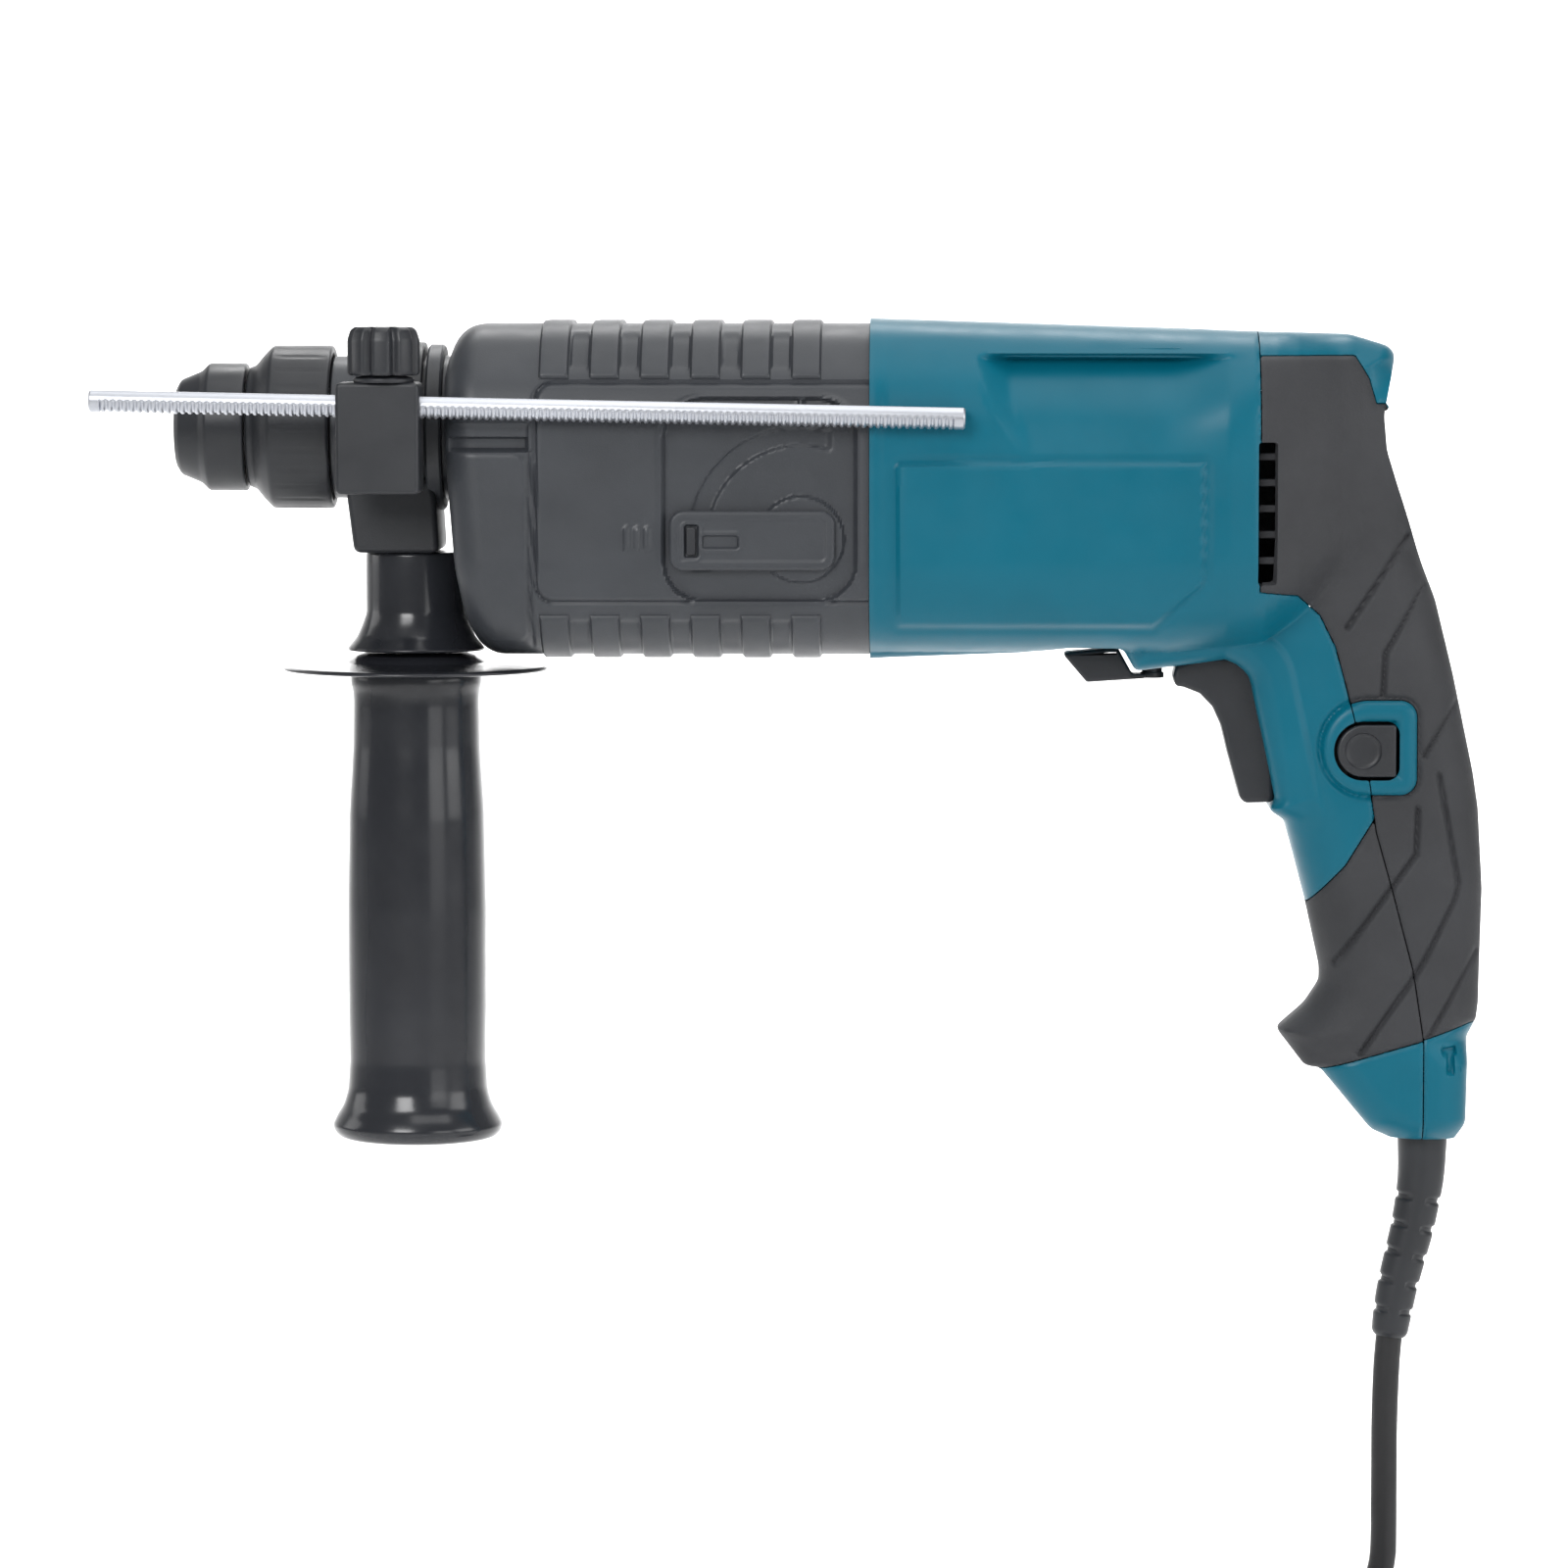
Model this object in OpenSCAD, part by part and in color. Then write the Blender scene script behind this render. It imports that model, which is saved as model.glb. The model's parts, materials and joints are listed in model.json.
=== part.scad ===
// Corded rotary hammer with a side handle and a depth rod.
// Millimetres. +Z is up, +X points to the rear and the nose points to -X.
// The spindle lies on the X axis. The origin is where the web of the hand sits on the grip.

/* [Spindle] */
// Diameter of the tool shank bore
shank_d = 10.1; // [10.05:0.05:10.2]
// Depth of the shank bore
shank_depth = 48; // [44:1:48]
// Outside diameter of the tool holder in the neck
holder_d = 22; // [21:0.5:22]
// Outside diameter of the hammer barrel
barrel_d = 30; // [29:0.5:30]
// Travel of the release sleeve
sleeve_travel = 6; // [4:0.5:6]

/* [Housings] */
// Width of the gear housing
gear_w = 77; // [76:0.5:77]
// Width of the motor housing
motor_w = 79; // [78:0.5:79]
// Corner radius of both housing sections
body_round = 28; // [27:0.5:29]
// Wall of the housings
wall = 4; // [3.5:0.5:4]
// Width of the grip
grip_w = 34; // [33:0.5:35]
// Wall of the grip halves
grip_wall = 3; // [2.5:0.5:3]
// Thickness of the rubber on the grip
rubber_t = 1.2; // [1:0.1:1.4]

/* [Side handle] */
// Diameter of the neck that the handle collar clamps on
neck_d = 40; // [39:0.5:40]
// Length of the side grip below the hand guard
side_grip_len = 134; // [120:2:134]
// Diameter of the hand guard
guard_d = 75; // [70:1:76]
// Length of the depth rod
rod_len = 242; // [200:2:242]
// Diameter of the depth rod
rod_d = 6.6; // [6:0.2:6.6]

/* [Cord] */
// Diameter of the power cord
cord_d = 7.5; // [7:0.25:7.5]
// Height of the surface that the coil lies on
floor_z = -380; // [-384:1:-380]

/* [Hidden] */
$fn = 64;

teal = [0.0, 0.42, 0.53];
dark = [0.26, 0.27, 0.29];
black = [0.13, 0.13, 0.14];
steel = [0.7, 0.71, 0.73];

// Clearances: a running fit, a gap between still pieces and a gap between moving ones.
fit = 0.05;
seat = 0.03;
gap = 0.3;

// Shafts: heights of their axes on the mid-plane.
shaft_z = -30.5;
motor_z = -14.5;
shaft_r = 4;

// Gears: module 1 with short teeth, so centre distances are half the teeth added up.
spindle_teeth = 49;
pinion_teeth = 12;
drive_teeth = 26;
armature_teeth = 6;
pressure_angle = 27;
addendum = 0.65;
dedendum = 0.8;
backlash = 0.25;

// Housings along X.
gear_front = -262;
joint_x = -143.6;
motor_rear = -33.6;
gear_top = 29.3;
gear_bottom = -63.5;
motor_top = 30.7;
motor_bottom = -64.6;
plate_front = -150;
plate_rear = -137.5;

// Swash drive: centre of the ball race and the tilt of its ring.
swash_x = -172;
race_r = 10;

// Mode lever: pivot and the offset of the pin that shifts the clutch.
lever_pivot = [-162.5, -30.3];
lever_floor = 36;
pin_offset = 3;

// Side handle: its axis, and the depth rod beside the spindle.
side_x = -272.2;
rod_y = -44;
rod_z = 6.7;
rod_tilt = 1.13;
rod_front = -359;

// Housing screws, one in each corner, and grip screws on the mid-plane.
corner_screws = [[28, 13.5], [28, -47], [-28, 13.5], [-28, -47]];
grip_screws = [12, -136, -187];

// Outlines of the grip on the mid-plane, as [x, z].
front_edge = [
    [-87.6, -61.2], [-72.8, -61.4], [-69, -68.1], [-48.4, -65.5], [-43.9, -64.8],
    [-40.6, -66.2], [-36.9, -69.9], [-34.2, -82.3], [-29.5, -104.4], [-31.4, -107.1],
    [-26.7, -110.4], [-20.6, -133.2], [-16.4, -152.3], [-16.4, -156.5], [-20.6, -162.9],
    [-28.6, -169.9], [-20.6, -179.9], [-16.4, -180.4], [-1.9, -197.9], [3, -200.1],
    [12.3, -201.8],
];
back_edge = [
    [12.3, -201.8], [21.6, -200.6], [24.7, -198.2], [25.3, -168.5], [28.5, -166.1],
    [28.8, -151.3], [29.4, -129.9], [28.8, -115.1], [26.1, -93.8], [20.8, -69.3],
    [15.6, -48.1], [9.7, -32.9], [3.8, -15.4], [0.8, -5.9], [0, 0.5], [0, 7.4],
    [1.7, 11.3], [4, 20.4], [2.2, 23], [-8.9, 26.4], [-33.6, 27],
];
seam = [
    [-33.6, 27], [-33.6, -46], [-23.9, -47.1], [-17.5, -52.4], [-13.2, -61],
    [-10, -72.6], [-3.6, -98.1], [-1.5, -112.9], [3.3, -129.9], [9.2, -152.3],
    [12.3, -172.5], [12.3, -201.8],
];

// Cord guard: a bent, tapered sleeve. The cord leaves its lower end.
guard_path = [
    [13.2, 0, -194], [13.2, 0, -203], [12.9, 0, -212], [11.8, 0, -220], [10.3, 0, -228],
    [8.3, 0, -236], [6.4, 0, -244], [5, 0, -252], [4.2, 0, -258],
];

// Cord: it hangs from the guard, turns level and runs into the top of its coil.
cord_path = [
    [4.2, 0, -258], [3.6, 0, -265], [3.2, 0, -275], [3, 0, -285], [3, 0, -295],
    [3, 0, -305], [3, 0, -315], [2.6, 0, -323], [0, 0, -333], [-5, 0, -342],
    [-13, 0, -349], [-22, 0, -353], [-30, 0, -353.8],
];
coil_centre = [-30, -46];
coil_out = 46;
coil_in = 38.5;
coil_layers = 4;
tail_path = [
    [-68.5, -46, -353.8], [-66, -58, -351.5], [-59.4, -68, -348], [-49.4, -74.6, -344.5],
    [-40, -76.8, -341.6], [-32, -77, -340.5],
];
plug_at = [-32, -77, -340.5];

function polar(r, a) = [r * cos(a), r * sin(a)];
function unit(v) = v / norm(v);
function arc(centre, r, from, to, steps) =
    [for (i = [0 : steps]) centre + polar(r, from + (to - from) * i / steps)];
function reversed(list) = [for (i = [len(list) - 1 : -1 : 0]) list[i]];

// Involute angle, in degrees, at radius r over a base circle.
function involute(base, r) =
    let (t = r > base ? sqrt(pow(r / base, 2) - 1) : 0) t * 180 / PI - atan(t);
function tooth_half(teeth, r) =
    let (pitch = teeth / 2, base = pitch * cos(pressure_angle))
    90 / teeth - backlash / 4 / pitch * 180 / PI + involute(base, pitch) - involute(base, r);

// Outline of a gear with one tooth centred at the angle first.
function gear_outline(teeth, first) =
    let (
        low = teeth / 2 - dedendum,
        high = teeth / 2 + addendum,
        radii = [low, teeth / 2 * 0.5 + low * 0.5, teeth / 2, teeth / 2 + addendum / 2, high]
    )
    [
        for (k = [0 : teeth - 1])
            let (centre = first + 360 / teeth * k)
            each concat(
                [for (r = radii) polar(r, centre - tooth_half(teeth, r))],
                [for (r = reversed(radii)) polar(r, centre + tooth_half(teeth, r))]
            )
    ];

// A bar or a ring along X.
module bar_x(x0, x1, r, y = 0, z = 0) {
    translate([x0, y, z]) rotate([0, 90, 0]) cylinder(h = x1 - x0, r = r);
}
module ring_x(x0, x1, outer, inner, y = 0, z = 0) {
    difference() {
        bar_x(x0, x1, outer, y, z);
        bar_x(x0 - 1, x1 + 1, inner, y, z);
    }
}
// A bar along Y.
module bar_y(y0, y1, r, x, z) {
    translate([x, y1, z]) rotate([90, 0, 0]) cylinder(h = y1 - y0, r = r);
}
// A shape turned about an axis along X, from [x, radius] points.
module turned_x(points, z = 0) {
    translate([0, 0, z]) rotate([0, 90, 0])
        rotate_extrude() polygon([for (p = points) [p[1], p[0]]]);
}
// A shape turned about an upright axis, from [radius, z] points.
module turned_z(x, y, points) {
    translate([x, y, 0]) rotate_extrude() polygon(points);
}
// A flat outline in X and Z with a thickness along Y.
module slab(y0, y1) {
    translate([0, y1, 0]) rotate([90, 0, 0]) linear_extrude(y1 - y0) children();
}
// A flat outline in Y and Z with a length along X.
module along_x(x0, x1) {
    translate([x0, 0, 0]) rotate([90, 0, 90]) linear_extrude(x1 - x0) children();
}
module round_rect(x0, y0, x1, y1, r) {
    translate([x0 + r, y0]) square([x1 - x0 - 2 * r, y1 - y0]);
    translate([x0, y0 + r]) square([x1 - x0, y1 - y0 - 2 * r]);
    for (x = [x0 + r, x1 - r], y = [y0 + r, y1 - r]) {
        translate([x, y]) circle(r);
    }
}
// A tube swept along a route, with a radius at each point; side is across every bend.
module swept(path, radii, sides, side) {
    count = len(path);
    points = [
        for (i = [0 : count - 1])
            let (
                ahead = unit(path[min(i + 1, count - 1)] - path[max(i - 1, 0)]),
                u = unit(cross(side, ahead)),
                v = cross(ahead, u)
            )
            for (k = [0 : sides - 1])
                path[i] + radii[i] * (cos(360 * k / sides) * u + sin(360 * k / sides) * v)
    ];
    faces = [
        [for (k = [0 : sides - 1]) k],
        [for (k = [sides - 1 : -1 : 0]) (count - 1) * sides + k],
        for (i = [0 : count - 2], k = [0 : sides - 1])
            [
                i * sides + k, (i + 1) * sides + k,
                (i + 1) * sides + (k + 1) % sides, i * sides + (k + 1) % sides,
            ],
    ];
    polyhedron(points, faces);
}
module bearing_x(x0, x1, outer, inner, z = 0) {
    race = (outer - inner) / 3;
    difference() {
        ring_x(x0, x1, outer, inner, 0, z);
        for (x = [x0 - 1, x1 - 0.4]) {
            ring_x(x, x + 1.4, outer - race, inner + race, 0, z);
        }
    }
}
module screw_x(head_x, tip_x, y, z, r, head_r) {
    back = sign(tip_x - head_x);
    head = 3;
    bar_x(min(head_x, head_x + back * head), max(head_x, head_x + back * head), head_r, y, z);
    bar_x(min(head_x + back * head, tip_x), max(head_x + back * head, tip_x), r, y, z);
}

// Gear housing: outside grown or shrunk by t.
module gear_outside(t = 0) {
    intersection() {
        along_x(gear_front, joint_x)
            round_rect(-gear_w / 2 + t, gear_bottom + t, gear_w / 2 - t, gear_top - t, body_round - t);
        turned_x([
            [-262, 0], [-262, 22], [-260, 25.5], [-258, 30], [-257.4, 37], [-256.6, 52],
            [-252.6, 56], [-251.6, 64], [-248, 80], [-140, 80], [-140, 0],
        ]);
    }
}
module screw_columns(x0, x1, r) {
    for (c = corner_screws) {
        bar_x(x0, x1, r, c[0], c[1]);
    }
}
// Room inside the gear housing, around the shaft wall, the screw columns and the lever boss.
module gear_cavity() {
    difference() {
        along_x(-246, joint_x + 1) round_rect(
            -gear_w / 2 + wall, gear_bottom + wall, gear_w / 2 - wall, gear_top - wall,
            body_round - wall
        );
        translate([-222, -60, -80]) cube([9, 120, 62]);
        screw_columns(-250, plate_front, 5);
        bar_y(-50, -30.5, 9, lever_pivot[0], lever_pivot[1]);
    }
}
module gear_housing() {
    color(dark) difference() {
        union() {
            gear_outside();
            turned_x([
                [-295, 0], [-295, neck_d / 2], [-268, neck_d / 2], [-268, neck_d / 2 + 3.4],
                [-263.5, neck_d / 2 + 3.4], [-263.5, neck_d / 2], [-252, neck_d / 2], [-252, 0],
            ]);
        }
        gear_cavity();
        turned_x([[-296, 0], [-296, 15], [-276, 15], [-276, 16.5], [-240, 16.5], [-240, 0]]);
        bar_x(-219, -212, 8, 0, shaft_z);
        bar_x(-223, -212, 5, 0, shaft_z);
        screw_columns(-264, -170, 3.8);
        screw_columns(-171, plate_front + 1, 2.1);
        // Shallow pocket that the mode lever turns in.
        slab(-gear_w / 2 - 1, -lever_floor) round_rect(-201, -48, -147, 9, 12);
        bar_y(-lever_floor - 1, -30, 5 + fit, lever_pivot[0], lever_pivot[1]);
    }
}
module rib_pads() {
    color(dark) for (k = [0 : 5]) {
        difference() {
            along_x(-234.7 + 14 * k, -226.3 + 14 * k) round_rect(
                -gear_w / 2 - 1, gear_bottom - 1, gear_w / 2 + 1, gear_top + 1, body_round + 1
            );
            along_x(-236 + 14 * k, -225 + 14 * k) round_rect(
                -gear_w / 2 - seat, gear_bottom - seat, gear_w / 2 + seat, gear_top + seat,
                body_round + seat
            );
            translate([-240 + 14 * k, -60, -53]) cube([20, 120, 67]);
        }
    }
}

// Motor housing barrel: outside grown or shrunk by t.
module motor_barrel(t = 0) {
    intersection() {
        along_x(joint_x, motor_rear)
            round_rect(-motor_w / 2 + t, motor_bottom + t, motor_w / 2 - t, motor_top - t, body_round - t);
        slab(-60, 60) polygon([
            [-150, motor_bottom + t], [-143, motor_bottom + t], [-100, -62.9 + t],
            [-87.6, -61.2 + t], [-33, -61.4 + t], [-33, 27.3 - t], [-143.6, motor_top - t],
            [-150, motor_top - t],
        ]);
    }
}
// Room inside the motor housing, around the screw columns behind the bearing plate.
module motor_cavity() {
    difference() {
        along_x(joint_x - 1, -46) round_rect(
            -motor_w / 2 + wall, motor_bottom + wall + 3, motor_w / 2 - wall, motor_top - wall - 3.4,
            body_round - wall
        );
        screw_columns(plate_rear, -127, 5);
    }
}
// Front half of the grip, without the part of the barrel it grows out of.
module front_grip(t = 0) {
    width = grip_w / 2 - t;
    slab(-width, width) intersection() {
        offset(delta = -t) polygon(concat([[-20, -30], [-60, -50]], front_edge, [[60, -201.8], [60, -30]]));
        polygon(concat([[-60, -50]], front_edge, reversed(seam)));
    }
}
module grip_cavity() {
    width = grip_w / 2 - grip_wall;
    slab(-width, width) offset(delta = -grip_wall)
        polygon(concat([[-60, -50]], [for (i = [5 : len(front_edge) - 1]) front_edge[i]], back_edge));
}
module button_outline(grow) {
    translate([-5.3, -90.1]) circle(7.3 + grow);
    translate([-5.3, -97.4 - grow]) square([9.2 + grow, 14.6 + 2 * grow]);
}
module button_ring() {
    slab(-grip_w / 2 - 1.5, -grip_w / 2 + 1) difference() {
        union() {
            translate([-1.6, -89.3]) circle(14.2);
            translate([-1.6, -103.5]) square([12.2, 28.4]);
        }
        button_outline(gap);
    }
}
module behind_seam() {
    slab(-60, 60) polygon(concat([[60, 40]], seam, [[60, -201.8]]));
}
module front_pad_region() {
    slab(-40, 40) polygon([
        [-1.9, -109.3], [-10, -122.5], [-16.4, -129.4], [-20.3, -133.5], [-40, -140],
        [-40, -180.6], [-16.4, -180.4], [40, -164], [40, -109.3],
    ]);
}
module rear_pad_region() {
    difference() {
        slab(-60, 60) polygon([
            [-40, 20.5], [-8, 20.5], [-4, 14], [-2, 7], [20, 7], [60, -60], [60, -167.6],
            [25.6, -167.6], [0, -175.5], [-40, -120],
        ]);
        slab(-60, 0) union() {
            translate([-1.6, -89.3]) circle(14.2 + seat);
            translate([-1.6, -103.5 - seat]) square([12.2 + seat, 28.4 + 2 * seat]);
        }
    }
}
module motor_housing() {
    color(teal) difference() {
        union() {
            difference() {
                motor_barrel();
                motor_cavity();
                // Hand hold scooped out of both sides below the top edge.
                for (side = [-1, 1]) {
                    scale([1, side, 1]) slab(-60, -motor_w / 2 + 1.8)
                        polygon([[-113, 21.6], [-33, 21.6], [-33, -9], [-100, -9]]);
                }
            }
            for (side = [-1, 1]) {
                scale([1, side, 1]) slab(-motor_w / 2 - 0.8, -motor_w / 2 + 1) difference() {
                    round_rect(-135, -54, -51, -9.4, 5);
                    polygon([[-50, -40], [-66, -55], [-50, -55]]);
                }
            }
            difference() {
                front_grip();
                intersection() {
                    front_grip();
                    front_pad_region();
                }
            }
            intersection() {
                front_grip(rubber_t);
                front_pad_region();
            }
            difference() {
                button_ring();
                behind_seam();
            }
        }
        difference() {
            grip_cavity();
            translate([-80, -60, -70]) cube([120, 120, 130]);
            for (z = grip_screws) {
                bar_x(-40, 20, 4.5, 0, z);
            }
        }
        // Room for the switch below the rear wall of the barrel.
        translate([-27, -11, -71]) cube([30, 22, 14]);
        translate([-62, -8 - gap, -106.3]) cube([40, 16 + 2 * gap, 37]);
        slab(-30, 0) button_outline(gap);
        bar_x(-46.5, -37, 8, 0, motor_z);
        bar_x(-50, -33, 4.5, 0, motor_z);
        screw_columns(plate_rear - 1, -128, 2);
        translate([-64, 0, -75]) cylinder(h = 20, r = 3 + fit);
        for (z = grip_screws) {
            bar_x(z > 0 ? -48 : -9, 30, 1.75, 0, z);
        }
        translate([13.2, 0, -206]) cylinder(h = 16, r = 7.1);
    }
}
module front_grip_pad() {
    color(black) difference() {
        intersection() {
            front_grip();
            front_pad_region();
        }
        front_grip(rubber_t - seat);
    }
}

// Rear cover: outside grown or shrunk by t. It narrows from the barrel to the grip.
module rear_outside(t = 0) {
    intersection() {
        slab(-60, 60) intersection() {
            offset(delta = -t)
                polygon(concat([[-80, -30], [-30, -110], [-30, -201.8]], back_edge, [[-80, 27]]));
            polygon(concat(reversed(seam), reversed(back_edge)));
        }
        union() {
            translate([0, 0, -50]) linear_extrude(90) polygon([
                [-34, -37.5 + t], [-28, -36.5 + t], [-14, -24 + t], [6, -15 + t],
                [6, 15 - t], [-14, 24 - t], [-28, 36.5 - t], [-34, 37.5 - t],
            ]);
            translate([-40, -grip_w / 2 + t, -210]) cube([80, grip_w - 2 * t, 170]);
        }
    }
}
module rear_cover() {
    color(teal) difference() {
        union() {
            difference() {
                rear_outside();
                rear_pad_region();
            }
            intersection() {
                rear_outside(rubber_t);
                rear_pad_region();
            }
            intersection() {
                button_ring();
                behind_seam();
            }
        }
        difference() {
            grip_cavity();
            for (z = grip_screws) {
                bar_x(z > 0 ? -30 : -10, 30, 4.5, 0, z);
            }
        }
        // Hollow behind the motor, with slots on both sides that let the air out.
        translate([0, 0, -42]) linear_extrude(62) polygon([
            [-35, -33.5], [-29, -32.5], [-17, -22], [-13, -10], [-13, 10], [-17, 22],
            [-29, 32.5], [-35, 33.5],
        ]);
        for (k = [0 : 4]) {
            translate([-33.4, -50, -43.9 + 8.2 * k]) cube([4.2, 100, 6]);
        }
        slab(-30, 0) button_outline(gap);
        for (z = grip_screws) {
            bar_x(z > 0 ? -35 : -12, 30, 1.9, 0, z);
            bar_x(z > 0 ? -8 : 21, 40, 3.6, 0, z);
        }
        translate([13.2, 0, -206]) cylinder(h = 16, r = 7.1);
    }
}
module rear_grip_pad() {
    color(black) difference() {
        intersection() {
            rear_outside();
            rear_pad_region();
        }
        rear_outside(rubber_t - seat);
        for (z = grip_screws) {
            bar_x(-8, 40, 3.6, 0, z);
        }
        for (k = [0 : 4]) {
            translate([-33.4, -50, -43.9 + 8.2 * k]) cube([4.2, 100, 6]);
        }
    }
}

// Inner frame: carries both gear shafts, the motor's front bearing and the barrel's rear bearing.
module bearing_plate() {
    color(steel) difference() {
        union() {
            along_x(plate_front, plate_rear) round_rect(-34.3, -57.4, 34.3, 23.1, body_round - wall - 0.1);
            difference() {
                bar_x(-197, -187, 21);
                translate([-200, -30, -40]) cube([20, 60, 28]);
            }
            translate([-197, -9, 17.6]) cube([50, 18, 4.6]);
        }
        bar_x(-198, -186, 17.5 + seat);
        bar_x(plate_front - 1, -143.5, 8 + seat, 0, shaft_z);
        bar_x(-144, plate_rear + 1, 9.5 + seat, 0, motor_z);
        bar_x(plate_front - 1, plate_rear, 4.8, 0, motor_z);
        screw_columns(plate_front - 1, plate_rear + 1, 2.3);
    }
}
module baffle_ring() {
    color(black) ring_x(-125, -122, 35, 31, 0, motor_z - 2.4);
}

module tool_holder() {
    shank_end = -334 + shank_depth;
    color(steel) difference() {
        turned_x([
            [-334, 0], [-334, holder_d / 2 - 1], [-333, holder_d / 2], [-268, holder_d / 2],
            [-268, barrel_d / 2], [-184, barrel_d / 2], [-184, 0],
        ]);
        bar_x(-335, shank_end, shank_d / 2);
        bar_x(shank_end - 1, -260, 7 + fit);
        bar_x(-262, -183, 12);
        for (side = [-1, 1]) {
            translate([-312, 0, 0]) rotate([side * 90, 0, 0]) cylinder(h = 14, r = 3.6);
        }
    }
}
module locking_balls() {
    color(steel) for (side = [-1, 1]) {
        translate([-312, side * 8.7, 0]) sphere(3.5);
    }
}
module nose_cap() {
    color(black) difference() {
        turned_x([
            [-339.6, 0], [-339.6, 11], [-338.2, 13.4], [-332.4, 15.8], [-330.2, 18], [-319.4, 18],
            [-319.4, 0],
        ]);
        bar_x(-342, -333, 7);
        bar_x(-334.3, -318, holder_d / 2 + seat);
    }
}
module release_sleeve() {
    color(dark) difference() {
        turned_x([
            [-319, 0], [-319, 17], [-317, 17.4], [-314.5, 20.5], [-312, 23], [-295.6, 23],
            [-295, 22.4], [-295, 0],
        ]);
        bar_x(-320, -294, holder_d / 2 + 1.4);
        bar_x(-309, -294, neck_d / 2 + 0.6);
    }
}
module sleeve_spring() {
    turns = 4;
    steps = turns * 12;
    path = [
        for (i = [0 : steps])
            [-307.6 + 10 * i / steps, 13.6 * cos(30 * i), 13.6 * sin(30 * i)]
    ];
    color(steel) swept(path, [for (p = path) 0.6], 8, [1, 0, 0]);
}
module front_bearing() {
    color(steel) bearing_x(-290, -276.2, 15 - seat, holder_d / 2 + fit);
}
module oil_seal() {
    color(black) ring_x(-294, -290.4, 15 - seat, holder_d / 2 + fit);
}
module barrel_bearing() {
    color(steel) ring_x(-196, -188, 17.5, barrel_d / 2 + fit);
}
module spindle_gear() {
    color(steel) difference() {
        along_x(-208, -200) polygon(gear_outline(spindle_teeth, -90));
        bar_x(-209, -199, barrel_d / 2 + seat);
    }
}
module impact_bolt() {
    color(steel) turned_x([
        [-284, 0], [-284, 6], [-283, 7], [-259, 7], [-259, 10], [-250, 10], [-248, 7],
        [-243, 7], [-243, 0],
    ]);
}
module striker() {
    color(steel) difference() {
        turned_x([
            [-217, 0], [-217, 7.5], [-216, 8.95], [-199, 8.95], [-199, 0],
        ]);
        ring_x(-204, -201.6, 12, 8.2);
    }
}
// Piston: a cup that the striker flies in, with a fork behind it for the pin.
module piston() {
    color(steel) difference() {
        union() {
            bar_x(-224, -180, 12 - fit);
            translate([-181, -8, -8.7]) cube([15, 16, 17.4]);
        }
        bar_x(-225, -186, 9);
        bar_y(-20, 20, 5 + fit, swash_x, 0);
        translate([-180, -4.6, -12]) cube([20, 9.2, 24]);
    }
}
module piston_pin() {
    color(steel) difference() {
        bar_y(-9.4, 9.4, 5, swash_x, 0);
        translate([swash_x, 0, -10]) cylinder(h = 20, r = 3.4);
    }
}
module swash_ring() {
    color(steel) difference() {
        union() {
            bar_x(swash_x - 6, swash_x + 6, 14, 0, shaft_z);
            translate([swash_x, 0, shaft_z + 12]) cylinder(h = 22.5, r = 3);
        }
        translate([swash_x, 0, shaft_z]) sphere(race_r + gap);
    }
}
module intermediate_shaft() {
    color(steel) union() {
        bar_x(-219.4, -144.2, shaft_r, 0, shaft_z);
        translate([0, 0, shaft_z]) along_x(-210, -198.5) polygon(gear_outline(pinion_teeth, 75));
    }
}
module swash_race() {
    color(steel) difference() {
        union() {
            intersection() {
                translate([swash_x, 0, shaft_z]) sphere(race_r);
                bar_x(swash_x - 6.5, swash_x + 6.5, race_r + 1, 0, shaft_z);
            }
            bar_x(-183.5, -158.5, 7, 0, shaft_z);
        }
        bar_x(-185, -157, shaft_r + seat, 0, shaft_z);
    }
}
module drive_gear() {
    color(steel) difference() {
        translate([0, 0, shaft_z]) along_x(-157, -151) polygon(gear_outline(drive_teeth, 90));
        bar_x(-158, -150, shaft_r + seat, 0, shaft_z);
    }
}
module clutch_sleeve() {
    color(steel) difference() {
        bar_x(-197, -189, 9, 0, shaft_z);
        bar_x(-198, -188, shaft_r + fit, 0, shaft_z);
        ring_x(-194.5, -191.5, 12, 7, 0, shaft_z);
    }
}
// Shift plate: a slotted strip moved by the lever's pin, with a fork in the clutch groove.
module shift_plate() {
    pin_x = lever_pivot[0] - pin_offset * cos(45);
    color(steel) difference() {
        union() {
            slab(-29.5, -27.5) polygon([
                [-195, -39], [pin_x + 5, -39], [pin_x + 5, -20], [-186, -20], [-195, -24],
            ]);
            translate([-194.1, -28, -39]) cube([2.2, 32, 17]);
        }
        slab(-30, -27) round_rect(pin_x - 1.7, -32.6, pin_x + 1.7, -24.6, 1.69);
        translate([-196, 0, shaft_z]) rotate([0, 90, 0]) cylinder(h = 6, r = 7.3);
        translate([-196, 0, shaft_z - 7.3]) cube([6, 20, 14.6]);
    }
}
module shaft_bearings() {
    color(steel) {
        bearing_x(-219, -213, 8 - seat, shaft_r + fit, shaft_z);
        bearing_x(-149.5, -144, 8, shaft_r + fit, shaft_z);
    }
}

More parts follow.
